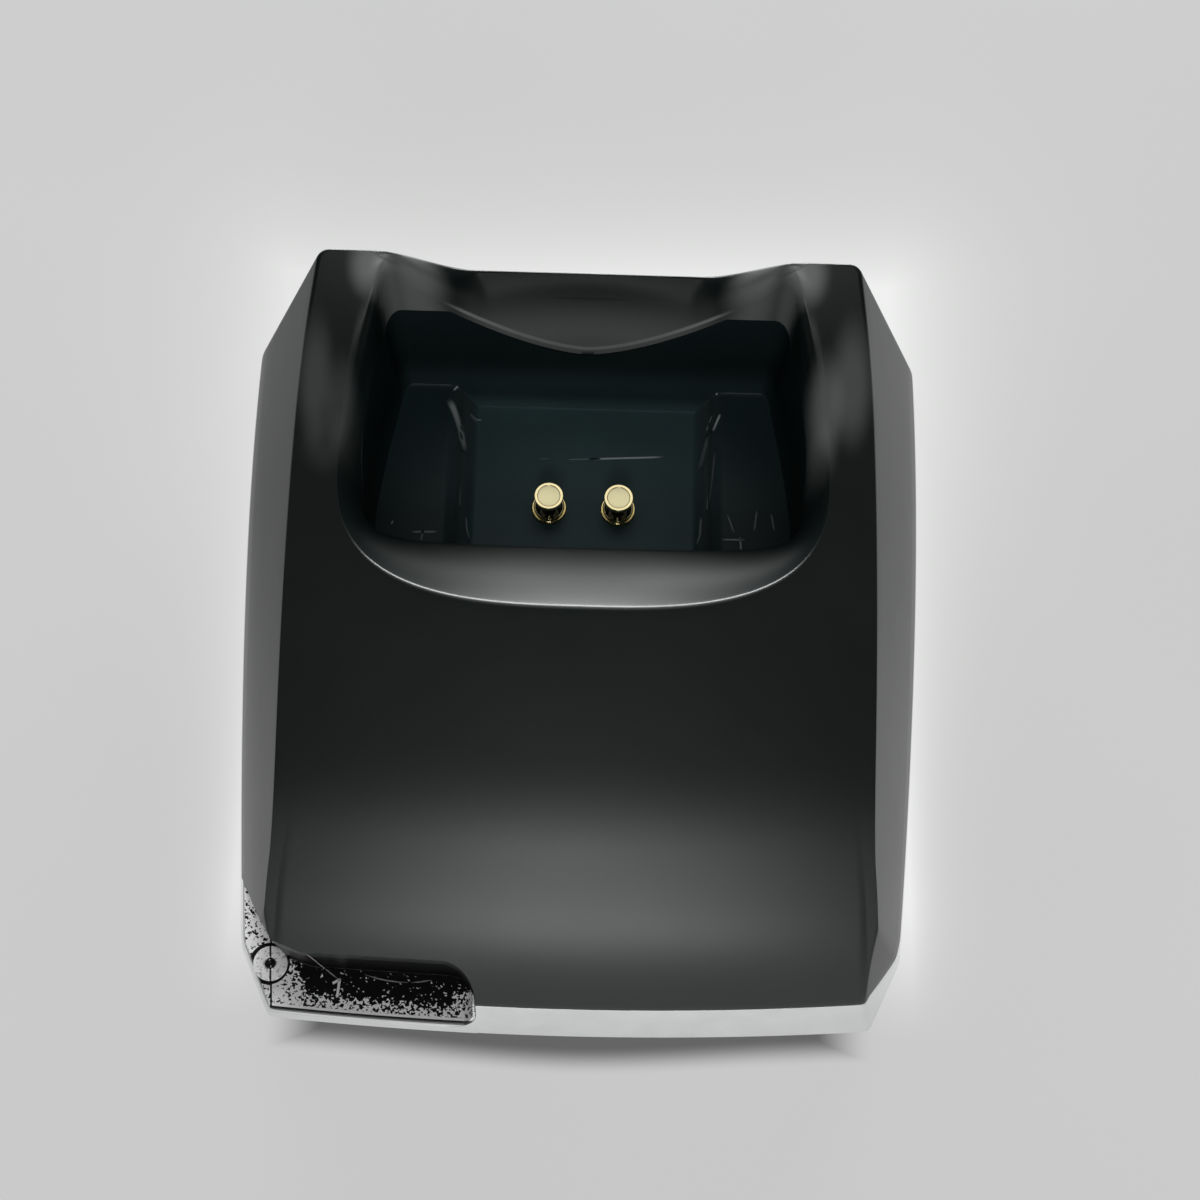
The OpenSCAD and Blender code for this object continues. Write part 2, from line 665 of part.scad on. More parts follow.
// Textured plate on the ledge, which curves up at the notch's end, and the round indicator
indicator_at = [-39.4, -43];
foil_t = 0.4;
foil_gap = 0.15;
bezel_r = 2.05;
lamp_r = 0.75;
module status_plate() {
    color([0.75, 0.76, 0.77]) difference() {
        intersection() {
            inset_block(ledge_z, nose_z - seam_nose_drop, 0.2);
            linear_extrude(clear_of_part) notch_plan(-foil_gap);
            along_y() difference() {
                notch_section(seat);
                intersection() {
                    notch_section(foil_t);
                    translate([-clear_of_part, ledge_z + foil_t]) square(2 * clear_of_part);
                }
            }
        }
        translate([indicator_at[0], indicator_at[1], 0]) cylinder(h = 10, r = bezel_r + 0.05, $fn = 48);
    }
}
module at_indicator() {
    translate([indicator_at[0], indicator_at[1], ledge_z]) children();
}
module indicator_bezel() {
    color([0.9, 0.9, 0.9]) at_indicator() rotate_extrude($fn = 64)
        polygon([
            [lamp_r, 0], [bezel_r, 0], [bezel_r, 0.75], [bezel_r - 0.2, 0.95], [lamp_r + 0.5, 0.95],
            [lamp_r, 0.7]]);
}
module indicator_light() {
    r = lamp_r - 0.03;
    color([0.1, 0.1, 0.1]) at_indicator() rotate_extrude($fn = 48)
        polygon([[0, 0], [r, 0], [r, 0.6], [r - 0.22, 0.8], [r - 0.47, 0.9], [0, 0.93]]);
}

foot_edge = 0.5;
module rubber_foot(place) {
    r = foot_d / 2;
    top = base_z + foot_recess;
    color([0.1, 0.1, 0.1]) translate([place[0], place[1], 0]) rotate_extrude($fn = 64)
        polygon([[0, 0], [r - foot_edge, 0], [r, foot_edge], [r, top], [0, top]]);
}

// Screw with a flat head below its shank and a cross recess in the head
module screw(head, shank, recess) {
    difference() {
        union() {
            translate([0, 0, -head[1]]) cylinder(h = head[1], r = head[0], $fn = 48);
            cylinder(h = shank[1], r = shank[0], $fn = 32);
        }
        for (a = [0, 90]) rotate(a) translate([-recess[0] / 2, -recess[1] / 2, -head[1] - recess[2]])
            cube([recess[0], recess[1], 2 * recess[2]]);
    }
}
case_head_z = base_z + 1.1;
module case_screw(place) {
    color([0.7, 0.7, 0.72]) translate([place[0], place[1], case_head_z])
        screw([2.7, 1], [pilot_r, 9], [2.8, 0.5, 0.6]);
}
module board_screw(side) {
    color([0.7, 0.7, 0.72]) translate([side * board_screw[0], board_screw[1], board_z])
        screw([1.9, 0.9], [board_screw_r, 5.5], [2, 0.4, 0.5]);
}
function on_left(place) = [-place[0], place[1]];

top_housing();
cradle_liner();
base_band();
bottom_plate();
ballast_weight();
circuit_board();
contact_pin(-1);  // contact_pin_left
contact_pin(1);  // contact_pin_right
contact_barrel(-1);  // contact_barrel_left
contact_barrel(1);  // contact_barrel_right
contact_spring(-1);  // contact_spring_left
contact_spring(1);  // contact_spring_right
power_inlet();
inlet_centre_pin();
status_window();
status_plate();
indicator_bezel();
indicator_light();
rubber_foot(on_left(foot_places[0]));  // foot_front_left
rubber_foot(foot_places[0]);  // foot_front_right
rubber_foot(on_left(foot_places[1]));  // foot_rear_left
rubber_foot(foot_places[1]);  // foot_rear_right
case_screw(on_left(screw_places[0]));  // case_screw_front_left
case_screw(screw_places[0]);  // case_screw_front_right
case_screw(on_left(screw_places[1]));  // case_screw_rear_left
case_screw(screw_places[1]);  // case_screw_rear_right
board_screw(-1);  // board_screw_left
board_screw(1);  // board_screw_right
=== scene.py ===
"""Looks of the charging stand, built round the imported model.

The shell, liner, band and contacts are surfaces worked out on grids from the same driving sizes as the
solids. Shapes are written in millimetres in the model's frame (front is -Y, the table is z = 0) and
become metres when a mesh is made.
"""
import math

import bmesh
import bpy
import numpy as np
from mathutils import Matrix, Vector


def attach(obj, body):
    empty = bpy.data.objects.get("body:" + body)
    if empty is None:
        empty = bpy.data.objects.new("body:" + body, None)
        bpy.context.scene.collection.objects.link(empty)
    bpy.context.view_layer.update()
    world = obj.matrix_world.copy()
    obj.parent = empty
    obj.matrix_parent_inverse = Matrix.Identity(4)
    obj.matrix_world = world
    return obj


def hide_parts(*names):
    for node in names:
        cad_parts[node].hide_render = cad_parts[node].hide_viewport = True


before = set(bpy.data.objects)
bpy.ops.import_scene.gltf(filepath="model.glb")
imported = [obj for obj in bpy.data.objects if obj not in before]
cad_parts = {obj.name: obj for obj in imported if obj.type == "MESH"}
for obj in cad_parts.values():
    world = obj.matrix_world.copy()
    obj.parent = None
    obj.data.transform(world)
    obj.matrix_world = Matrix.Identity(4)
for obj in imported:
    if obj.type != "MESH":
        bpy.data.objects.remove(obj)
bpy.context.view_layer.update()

MM = 0.001

# Body
FOOT_HALF_W = 48.9
HALF_DEPTH = 51.15
TOP_Z = 52.0
NOSE_Z = 10.0
SIDE_DRAFT = 0.314
REAR_DRAFT = 0.297
WALL = 2.2
REAR_WALL = 1.8
CROWN = 1.1
BASE_Z = 1.5
LEDGE_Z = 3.6

# Foot outline
CORNER_X = 39.6
FRONT_BOW = 1.6
CUT_END = (44.0, -40.35)
SIDE_BEND = (FOOT_HALF_W + 0.4, 12.0)
REAR_R = 4.5
REAR_R_LOSS = 0.0634
SHOULDER_SHARE = 0.845
FRONT_LEAN = 0.32
FRONT_CORNER_LEAN = (-0.2073, FRONT_LEAN)
CUT_END_LEAN_Y = 0.066

# Top panel
RAMP_Z = 37.5
RAMP_SLOPE = 0.32
NOSE_HALF_W = 38.0
CROWN_HALF_W = 37.5
LIFT_Y = 20.15
REAR_Y = HALF_DEPTH - REAR_DRAFT * (TOP_Z - BASE_Z)
REAR_CORNER_X = 33.0
LIFT_RUN = REAR_Y - LIFT_Y
LIFT_H = TOP_Z - RAMP_Z - RAMP_SLOPE * REAR_Y - CROWN * (1 - (REAR_CORNER_X / CROWN_HALF_W) ** 2)
DROP_Y = -20.85
DROP_RUN = 27.0
DROP_H = 12.03
DROP_POWER = 2.93

# Well: crest, inner edge and rear rim
CREST = (30.1, 16.2)
CREST_Y = 12.25
CREST_POWER = 2.8
ARM_END_X = 25.5
ARM_END_Y = 33.0
ARM_POWER = 2.2
CREST_END_Y = 35.4
EDGE = (28.2, 7.2)
EDGE_Y = 14.2
EDGE_POWER = 5.0
EDGE_FRONT_Z = 29.5
EDGE_RISE_Y = (7.0, 18.0)
EDGE_FALL = (4.2, 2.0)
EDGE_FALL_Y = (24.0, 33.0)
EDGE_CORNER_R = 1.9
EDGE_REAR = (24.6, 34.65)
EDGE_SIDE_END = (25.7, 31.6)
RIM_LOW_Z = 31.0
RIM_HIGH_Z = 49.0
RIM_POWER = 1.6
SADDLE_Z = 44.0
SADDLE_HALF_W = 13.5
SADDLE_TOP_X = 27.6
SHOULDER_SEEN_Z = 48.0
SADDLE_CREST = (0.06, 0.6)
SADDLE_WEIGHT = 0.55
LIP_H = 1.6
LIP_LOW_MAX = 40.0
LIP_WALL = 1.95

# Hidden side of the shell
CEILING_Z = 41.0
CEILING_Y = 36.0
PANEL_WALL = 2.6
PANEL_WALL_MID = 2.5
NOSE_WALL = 2.4
REAR_LIP_Z = 40.8

# Seam between shell and band
SEAM_LOW_Y = -37.25
SEAM_RUN = 9.6
SEAM_SIDE_Z = BASE_Z + 0.9
SEAM_FRONT_Z = NOSE_Z - 0.7

# Notch in the front left corner
NOTCH_START = (-45.1, -30.6)
NOTCH_LEFT = (-37.4, -42.0)
NOTCH_KNEE = (-34.0, -43.2)
NOTCH_BACK_Y = -43.9
NOTCH_END_X = -12.0
NOTCH_R = 4.4
NOTCH_FILLET = 3.6
NOTCH_REACH = 62.0
NOTCH_TOP_Z = 40.0

# Inlet in the rear wall
INLET_Z = 9.6
INLET_R = 4.1

# Liner and contacts
FLOOR_Z = 14.0
SHOULDER_Z = 20.0
CHANNEL_HALF_W = 15.6
SHOULDER_R = 2.2
LINER_WALL = 1.7
LINER_DRAFT = 0.02
CONTACT_PITCH = 9.5
CONTACT_Y = 18.75
HEAD_R = 1.95
HEAD_Z = 18.5

# Stations of the half outline: front edge, cut corner, side, rear corner, rear shoulder, rear rim
END_FRONT = 12.0
END_CUT = 15.0
END_SIDE = 33.0
END_CORNER = 37.0
END_SHOULDER = 41.0
LAST = 52.0
STATIONS_FINE = (74, 16, 120, 22, 18, 74)


def smooth(t):
    """Eases from 0 to 1 with level ends: three t squared less two t cubed, held outside 0 to 1."""
    c = np.clip(t, 0, 1)
    return c * c * (3 - 2 * c)


def mix(a, b, t):
    """Goes from a to b in proportion to t."""
    return a + (b - a) * t


def share(j, start, end):
    """How far station j lies between two others."""
    return (j - start) / (end - start)


def ease(v, start, end):
    """Goes from 0 to 1 while v goes from start to end, with level ends."""
    return smooth((v - start) / (end - start))


def unit(v):
    """Each vector over its own length."""
    return v / np.maximum(np.linalg.norm(v, axis=-1, keepdims=True), 1e-9)


def pick(j, parts):
    """Takes, for each station, the value of the first part whose end station reaches it."""
    out = None
    for end, value in reversed(parts):
        value = np.broadcast_to(value, (len(j), 2) if np.ndim(value) == 2 else (len(j),))
        if out is None:
            out = value.astype(float)
        else:
            reach = j <= end + 1e-9
            out = np.where(reach[:, None] if out.ndim > 1 else reach, value, out)
    return out


def pair(x, y):
    """Two coordinates side by side."""
    x, y = np.broadcast_arrays(x, y)
    return np.stack([x, y], axis=-1)


def stations():
    """Station numbers of the half outline, evenly spaced inside each stretch."""
    ends = (0.0, END_FRONT, END_CUT, END_SIDE, END_CORNER, END_SHOULDER, LAST)
    runs = [np.linspace(a, b, n, endpoint=False) for a, b, n in zip(ends[:-1], ends[1:], STATIONS_FINE)]
    return np.concatenate(runs + [[LAST]])


J = stations()


def mirrored(half):
    """Adds the left half of a closed outline: the stations run back with x turned over."""
    back = half[-2:0:-1].copy()
    back[..., 0] *= -1
    return np.concatenate([half, back])


def rim_share(j):
    """Share of the straight rear half width at which a rear station lies."""
    near = mix(1.0, SHOULDER_SHARE, share(j, END_CORNER, END_SHOULDER))
    return np.where(j <= END_SHOULDER, near, SHOULDER_SHARE * (1 - share(j, END_SHOULDER, LAST)))


def foot_outline(j):
    """Foot of the shell seen from above: a bowed front, a straight cut, a quadratic curve along the side,
    a quarter circle and the straight rear."""
    t = j / END_FRONT
    front = pair(CORNER_X * t, -HALF_DEPTH + FRONT_BOW * t * t)
    cut = mix(np.array([CORNER_X, -HALF_DEPTH + FRONT_BOW]), np.array(CUT_END),
              share(j, END_FRONT, END_CUT)[:, None])
    t = share(j, END_CUT, END_SIDE)[:, None]
    side = ((1 - t) ** 2 * np.array(CUT_END) + 2 * t * (1 - t) * np.array(SIDE_BEND)
            + t * t * np.array([FOOT_HALF_W, HALF_DEPTH - REAR_R]))
    a = np.radians(90) * share(j, END_SIDE, END_CORNER)
    corner = pair(FOOT_HALF_W - REAR_R + REAR_R * np.cos(a), HALF_DEPTH - REAR_R + REAR_R * np.sin(a))
    rear = pair((FOOT_HALF_W - REAR_R) * rim_share(j), HALF_DEPTH + 0 * j)
    return pick(j, [(END_FRONT, front), (END_CUT, cut), (END_SIDE, side), (END_CORNER, corner), (LAST, rear)])


def lean_outline(j):
    """How far each station moves, in x and y, for each millimetre of height."""
    t = j / END_FRONT
    front = pair(FRONT_CORNER_LEAN[0] * t, FRONT_CORNER_LEAN[1] + 0 * t)
    cut = mix(np.array(FRONT_CORNER_LEAN), np.array([-SIDE_DRAFT, CUT_END_LEAN_Y]),
              share(j, END_FRONT, END_CUT)[:, None])
    side = pair(-SIDE_DRAFT + 0 * j, mix(CUT_END_LEAN_Y, -REAR_DRAFT, share(j, END_CUT, END_SIDE)))
    a = np.radians(90) * share(j, END_SIDE, END_CORNER)
    corner = pair(-SIDE_DRAFT + REAR_R_LOSS * (1 - np.cos(a)), -REAR_DRAFT + REAR_R_LOSS * (1 - np.sin(a)))
    rear = pair((REAR_R_LOSS - SIDE_DRAFT) * rim_share(j), -REAR_DRAFT + 0 * j)
    return pick(j, [(END_FRONT, front), (END_CUT, cut), (END_SIDE, side), (END_CORNER, corner), (LAST, rear)])


def softened(half, width):
    """Rounds the corners of a half outline a little, as a weighted mean over a few stations each way."""
    whole = mirrored(half)
    reach = int(3 * width) + 1
    steps = np.arange(-reach, reach + 1)
    weights = np.exp(-0.5 * (steps / width) ** 2)
    weights /= weights.sum()
    mean = sum(w * np.roll(whole, s, axis=0) for s, w in zip(steps, weights))
    return mean[:len(half)]


FOOT = softened(foot_outline(J), 0.9)
LEAN = softened(lean_outline(J), 0.9)


def inward_of(half):
    """Unit vectors that point into a closed outline, at right angles to its run."""
    whole = mirrored(half)
    run = unit(np.roll(whole, -1, axis=0) - np.roll(whole, 1, axis=0))
    return pair(-run[:, 1], run[:, 0])[:len(half)]


INWARD = inward_of(FOOT)


def skin(z):
    """Points of the drafted outer wall at the heights z, one for each station."""
    z = np.broadcast_to(z, J.shape)
    return FOOT + (z - BASE_Z)[:, None] * LEAN


def panel(p):
    """Height of the top panel over plan points: a ramp, a square-law lift at the rear, a power-law drop at
    the nose, and a crown across the width."""
    x, y = p[..., 0], p[..., 1]
    lift = LIFT_H * np.maximum(0, (y - LIFT_Y) / LIFT_RUN) ** 2
    bow = FRONT_BOW * (x / NOSE_HALF_W) ** 2
    drop = DROP_H * np.maximum(0, (DROP_Y - y + bow) / DROP_RUN) ** DROP_POWER
    return RAMP_Z + RAMP_SLOPE * y + lift - drop + CROWN * (1 - (x / CROWN_HALF_W) ** 2)


def point(xy, z):
    """Plan points with their heights."""
    return np.concatenate([xy, np.broadcast_to(z, xy.shape[:-1])[..., None]], axis=-1)


def crease_line():
    """Line where the outer wall meets the panel, found by repeated substitution; over the rear rim it falls
    to the saddle along an eased ramp."""
    z = np.full(J.shape, 40.0)
    for _ in range(14):
        z = panel(skin(z))
    top = np.interp(END_SHOULDER, J, z)
    outward = ease(np.abs(skin(SHOULDER_SEEN_Z)[:, 0]), SADDLE_HALF_W, SADDLE_TOP_X)
    z = np.where(J <= END_SHOULDER, z, mix(SADDLE_Z, top, outward))
    z = np.where(J <= END_FRONT, NOSE_Z, z)
    return point(skin(z), z)


CREASE = crease_line()


def quarter(size, y, power, t):
    """Quarter of a rounded rectangle: x and y are powers of the sine and cosine of a turning angle."""
    a = np.radians(90) * t
    c = np.abs(np.cos(a)) ** (2 / power)
    s = np.abs(np.sin(a)) ** (2 / power)
    return pair(size[0] * s, y - size[1] * c)


def arm_x(y):
    """Half width of the crest along the arms, which closes in by a power of the way to the rear."""
    return CREST[0] - (CREST[0] - ARM_END_X) * np.maximum(0, (y - CREST_Y) / (REAR_Y - CREST_Y)) ** ARM_POWER


def rim_z(x):
    """Height of the well's inner edge along the rear, a power of the distance from the middle."""
    return RIM_LOW_Z + (RIM_HIGH_Z - RIM_LOW_Z) * np.minimum(1, np.abs(x) / EDGE_REAR[0]) ** RIM_POWER


def inner_edge():
    """Inner edge of the lead-in: a rounded front, a side that closes in, a rounded rear corner and the rim.
    It starts level in front, eases up to a little below the panel beside the well, and ends on the rim."""
    front = quarter(EDGE, EDGE_Y, EDGE_POWER, np.clip(J / END_CUT, 0, 1))
    t = np.clip(share(J, END_CUT, END_SIDE), 0, 1)
    side = pair(mix(EDGE[0], EDGE_SIDE_END[0], t ** 1.3), mix(EDGE_Y, EDGE_SIDE_END[1], t))
    t = np.clip(share(J, END_SIDE, END_SHOULDER), 0, 1)
    a = np.radians(90) * t
    turn_in = pair(EDGE_SIDE_END[0] - EDGE_CORNER_R * (1 - np.cos(a)),
                   mix(EDGE_SIDE_END[1], EDGE_REAR[1], np.sin(a)))
    rear = pair((EDGE_SIDE_END[0] - EDGE_CORNER_R) * (1 - share(J, END_SHOULDER, LAST)), EDGE_REAR[1] + 0 * J)
    p = pick(J, [(END_CUT, front), (END_SIDE, side), (END_SHOULDER, turn_in), (LAST, rear)])
    beside = panel(p) - mix(*EDGE_FALL, ease(p[:, 1], *EDGE_FALL_Y))
    z_front = mix(EDGE_FRONT_Z, beside, ease(p[:, 1], *EDGE_RISE_Y))
    z_turn = mix(beside, rim_z(np.interp(END_SHOULDER, J, p[:, 0])), ease(J, END_SIDE, END_SHOULDER))
    return point(p, pick(J, [(END_SIDE, z_front), (END_SHOULDER, z_turn), (LAST, rim_z(p[:, 0]))]))


INNER = inner_edge()


def outward_of_edge():
    """Unit vectors that point out of the well at its inner edge."""
    return -inward_of(INNER[:, :2])


OUT = outward_of_edge()


def turn(a, b, u, w):
    """Goes from a to b partly straight and partly as a quarter of an ellipse, by the weight w."""
    flat = mix(u, np.sin(np.radians(90) * u), w)
    drop = mix(u, 1 - np.cos(np.radians(90) * u), w)
    return np.stack([mix(a[:, 0], b[:, 0], flat), mix(a[:, 1], b[:, 1], flat),
                     mix(a[:, 2], b[:, 2], drop)], axis=-1)


def saddle_share():
    """Where the crest lies between the rear edge and the inner rim, for each station of the rim."""
    return mix(*SADDLE_CREST, smooth(share(J, END_SHOULDER, LAST) * 2))


def crest_plan():
    """Crest of the well seen from above: a rounded front and the two arms."""
    front = quarter(CREST, CREST_Y, CREST_POWER, np.clip(J / END_CUT, 0, 1))
    y = mix(CREST_Y, ARM_END_Y, np.clip(share(J, END_CUT, END_SIDE), 0, 1))
    arm = pair(arm_x(y), y)
    y = mix(ARM_END_Y, CREST_END_Y, np.clip(share(J, END_SIDE, END_SHOULDER), 0, 1))
    end = pair(arm_x(y), y)
    return pick(J, [(END_CUT, front), (END_SIDE, arm), (LAST, end)])


ON_RIM = ease(J, END_SHOULDER, END_SHOULDER + 1.2)[:, None]
CREST_FLAT = crest_plan()
CREST_LINE = mix(point(CREST_FLAT, panel(CREST_FLAT)),
                 turn(CREASE, INNER, saddle_share(), SADDLE_WEIGHT), ON_RIM)

# How round the lead-in turns, and the power by which the top leaves the crease for the panel
ROLL = ease(J, END_FRONT + 1, END_CUT + 4)
FADE = mix(9.0, 1.0, ease(J, END_SIDE, END_CORNER))


def column(v):
    """A share given for each station, or one for all, ready to multiply points."""
    return v[:, None] if np.ndim(v) == 1 else v


def top_row(v):
    """Row of the top surface, v from 0 at the crease to 1 at the crest. What the crease lies above or below
    the panel fades by a power of the way that is left."""
    v = column(v)
    p = mix(CREASE[:, :2], CREST_FLAT, v)
    gap = CREASE[:, 2] - panel(CREASE[:, :2])
    z = panel(p) + (1 - np.squeeze(v)) ** FADE * gap
    on_panel = point(p, z)
    on_saddle = turn(CREASE, INNER, np.squeeze(v) * saddle_share(), SADDLE_WEIGHT)
    return mix(on_panel, on_saddle, ON_RIM)


def lead_row(u):
    """Row of the lead-in, u from 0 at the crest to 1 at the inner edge."""
    on_lead = turn(CREST_LINE, INNER, u, ROLL)
    s = saddle_share()
    on_saddle = turn(CREASE, INNER, mix(s, 1.0, u), SADDLE_WEIGHT)
    return mix(on_lead, on_saddle, ON_RIM)


def bend(a, corner, b, steps):
    """Rows of a quadratic curve from a to b that leaves and arrives towards the corner."""
    return [(1 - t) ** 2 * a + 2 * t * (1 - t) * corner + t * t * b for t in np.linspace(0, 1, steps)]


# Radii of the shell's edges: foot, outer crease, crest of the well and inner edge of the lead-in. Where the
# top is narrow, a radius takes no more than a share of its width
FOOT_R = 0.15
CREASE_R = 0.5
CREST_R = mix(0.55, 0.9, ROLL)
EDGE_R = 0.45
NEAR_HALF = 0.45


def fillet(before, corner, after, r, steps):
    """Rows that round a corner between two rows, from r before it to r after it."""
    a = corner + unit(before - corner) * r
    b = corner + unit(after - corner) * r
    return bend(a, corner, b, steps)


def seam_height():
    """Height of the seam between band and shell: low along the sides, up the cut to the front."""
    low = skin(6.0)[:, 1]
    rise = np.clip((SEAM_LOW_Y - low) / SEAM_RUN, 0, 1)
    return np.where(J <= END_FRONT, SEAM_FRONT_Z, mix(SEAM_SIDE_Z, SEAM_FRONT_Z, rise))


SEAM = seam_height()


def lip_height():
    """Lower end of the shell's lip inside the well."""
    return np.minimum(INNER[:, 2] - LIP_H, LIP_LOW_MAX)


def underside_rows():
    """Rows of the shell's hidden side, from the lip back to the foot, a wall's thickness in."""
    ceiling = CEILING_Z + np.maximum(0, CEILING_Y - CREASE[:, 1])
    z_out = np.where(J <= END_FRONT, panel(CREASE[:, :2] + [0, WALL]) - NOSE_WALL,
                     np.minimum(CREASE[:, 2] - PANEL_WALL, ceiling))
    thick = np.where(J <= END_SIDE, WALL, REAR_WALL)[:, None]
    a = point(skin(np.where(J <= END_FRONT, NOSE_Z, z_out)) + thick * INWARD, z_out)
    o = INNER[:, :2] + LIP_WALL * OUT
    c = CREST_FLAT
    front = pair(c[:, 0], np.minimum(c[:, 1], o[:, 1]))
    side = pair(np.maximum(c[:, 0], o[:, 0]), c[:, 1])
    plan = pick(J, [(END_FRONT, front), (END_SIDE, side), (LAST, o)])
    z_in = np.where(J <= END_SIDE, np.minimum(panel(plan) - PANEL_WALL, ceiling), REAR_LIP_Z)
    b = point(plan, z_in)
    rows = [b]
    for v in (0.75, 0.5, 0.25):
        p = mix(a[:, :2], b[:, :2], v)
        z = np.where(J <= END_SIDE, np.minimum(panel(p) - PANEL_WALL_MID, ceiling), mix(a[:, 2], b[:, 2], v))
        rows.append(point(p, z))
    rows.append(a)
    rows.append(point(skin(SEAM) + WALL * INWARD, SEAM))
    return rows


def shell_rows():
    """All rows of the shell's closed wall, from the foot over the top into the well and back inside."""
    inner_foot = point(skin(SEAM) + WALL * INWARD, SEAM)
    foot = point(skin(SEAM), SEAM)
    below = point(skin(CREASE[:, 2] - CREASE_R), CREASE[:, 2] - CREASE_R)
    rows = fillet(inner_foot, foot, below, FOOT_R, 3)
    rows += [mix(rows[-1], below, t) for t in np.linspace(0, 1, 9)[1:-1]]

    across = np.linalg.norm(CREST_LINE - CREASE, axis=1)
    first = np.minimum(CREASE_R / across, NEAR_HALF)
    final = np.maximum(1 - CREST_R / across, 1 - NEAR_HALF)
    rows += bend(below, CREASE, top_row(first), 7)
    rows += [top_row(mix(first, final, v)) for v in np.linspace(0, 1, 42)[1:-1] ** 1.15]

    start = CREST_R / np.linalg.norm(INNER - CREST_LINE, axis=1)
    ts = np.linspace(0, 1, 9)
    rounded_crest = bend(top_row(final), CREST_LINE, lead_row(start), 9)
    true_crest = [top_row(mix(final, 1, 2 * t)) if t <= 0.5 else lead_row((2 * t - 1) * start) for t in ts]
    rows += [mix(a, b, ON_RIM) for a, b in zip(rounded_crest, true_crest)]

    lip_z = lip_height()
    lip = point(INNER[:, :2], lip_z)
    edge_from = 1 - EDGE_R / np.linalg.norm(INNER - CREST_LINE, axis=1)
    rows += [lead_row(mix(start, edge_from, u)) for u in np.linspace(0, 1, 18)[1:-1]]
    rows += bend(lead_row(edge_from), INNER, mix(INNER, lip, EDGE_R / LIP_H), 7)
    rows += [lip, point(INNER[:, :2] + LIP_WALL * OUT, lip_z)]
    return rows + underside_rows()


def make_mesh(name, verts, faces, sharp=35.0):
    """Turns millimetre vertices and faces into a smooth-shaded object whose sharp edges stay sharp."""
    verts = np.asarray(verts, dtype=float)
    if enclosed(verts, faces) < 0:
        faces = [list(f)[::-1] for f in faces]
    mesh = bpy.data.meshes.new(name)
    mesh.from_pydata((verts * MM).tolist(), [], [list(map(int, f)) for f in faces])
    return finish_mesh(name, mesh, sharp)


def enclosed(verts, faces):
    """Signed volume inside quads and other faces, from the first corner of each: negative if inside out."""
    quads = np.array([f for f in faces if len(f) == 4])
    total = 0.0
    if len(quads):
        a, b, c, d = (verts[quads[:, k]] for k in range(4))
        total += np.sum(a * np.cross(b, c)) + np.sum(a * np.cross(c, d))
    for f in faces:
        if len(f) != 4:
            p = verts[list(f)]
            total += np.sum(p[0] * np.cross(p[1:-1], p[2:]))
    return total


def finish_mesh(name, mesh, sharp=35.0):
    """Sets smooth shading, marks the sharp edges and links an object with the mesh."""
    mesh.update()
    mesh.polygons.foreach_set("use_smooth", np.ones(len(mesh.polygons), dtype=bool))
    mesh.set_sharp_from_angle(angle=math.radians(sharp))
    piece = bpy.data.objects.new(name, mesh)
    bpy.context.scene.collection.objects.link(piece)
    return piece


def ring_faces(stations_count, rows_count, offset=0, closed=True):
    """Quads of a grid that closes along its stations, and along its rows too where closed."""
    i = np.arange(stations_count)[:, None]
    k = np.arange(rows_count if closed else rows_count - 1)[None, :]
    a = i * rows_count + k
    b = i * rows_count + (k + 1) % rows_count
    c = ((i + 1) % stations_count) * rows_count + (k + 1) % rows_count
    d = ((i + 1) % stations_count) * rows_count + k
    return (np.stack([a, d, c, b], axis=-1).reshape(-1, 4) + offset).tolist()


def grid_faces(nu, nv, offset=0):
    """Quads of an open grid of nu by nv points."""
    i = np.arange(nu - 1)[:, None]
    k = np.arange(nv - 1)[None, :]
    a = i * nv + k
    return (np.stack([a, a + nv, a + nv + 1, a + 1], axis=-1).reshape(-1, 4) + offset).tolist()


def ring_piece(name, rows, sharp=35.0):
    """Object of a closed wall from its rows of half-outline points."""
    columns = mirrored(np.stack(rows, axis=1))
    count, deep = columns.shape[:2]
    return make_mesh(name, columns.reshape(-1, 3), ring_faces(count, deep), sharp)


def lathe(name, profile, centre, segments=128, sharp=35.0):
    """Object turned about an upright axis from a profile of (radius, height) pairs that starts and ends on
    the axis."""
    profile = np.array(profile, dtype=float)
    inner = profile[1:-1]
    a = np.linspace(0, 2 * np.pi, segments, endpoint=False)
    x = centre[0] + np.outer(np.cos(a), inner[:, 0])
    y = centre[1] + np.outer(np.sin(a), inner[:, 0])
    z = np.broadcast_to(inner[:, 1], x.shape)
    verts = np.stack([x, y, z], axis=-1).reshape(-1, 3)
    deep = len(inner)
    faces = ring_faces(segments, deep, closed=False)
    low, high = len(verts), len(verts) + 1
    verts = np.vstack([verts, [centre[0], centre[1], profile[0, 1]], [centre[0], centre[1], profile[-1, 1]]])
    i = np.arange(segments)
    j = (i + 1) % segments
    faces += np.stack([j * deep, i * deep, np.full(segments, low)], axis=-1).tolist()
    faces += np.stack([i * deep + deep - 1, j * deep + deep - 1, np.full(segments, high)], axis=-1).tolist()
    return make_mesh(name, verts, faces, sharp)


def rounded(points, r, steps=4):
    """Profile with each inner corner rounded by a quadratic curve that starts and ends up to r away."""
    points = np.array(points, dtype=float)
    out = [points[0]]
    for before, corner, after in zip(points[:-2], points[1:-1], points[2:]):
        reach = min(r, np.linalg.norm(before - corner) * 0.45, np.linalg.norm(after - corner) * 0.45)
        a = corner + unit(before - corner) * reach
        b = corner + unit(after - corner) * reach
        out += bend(a, corner, b, steps)
    return np.array(out + [points[-1]])


def between(name, low, high):
    """Object between two closed outlines of as many points: side quads and two flat ends."""
    n = len(low)
    i = np.arange(n)
    j = (i + 1) % n
    sides = np.stack([i, j, j + n, i + n], axis=-1).tolist()
    return make_mesh(name, np.vstack([low, high]), sides + [list(range(n))[::-1], list(range(n, 2 * n))])


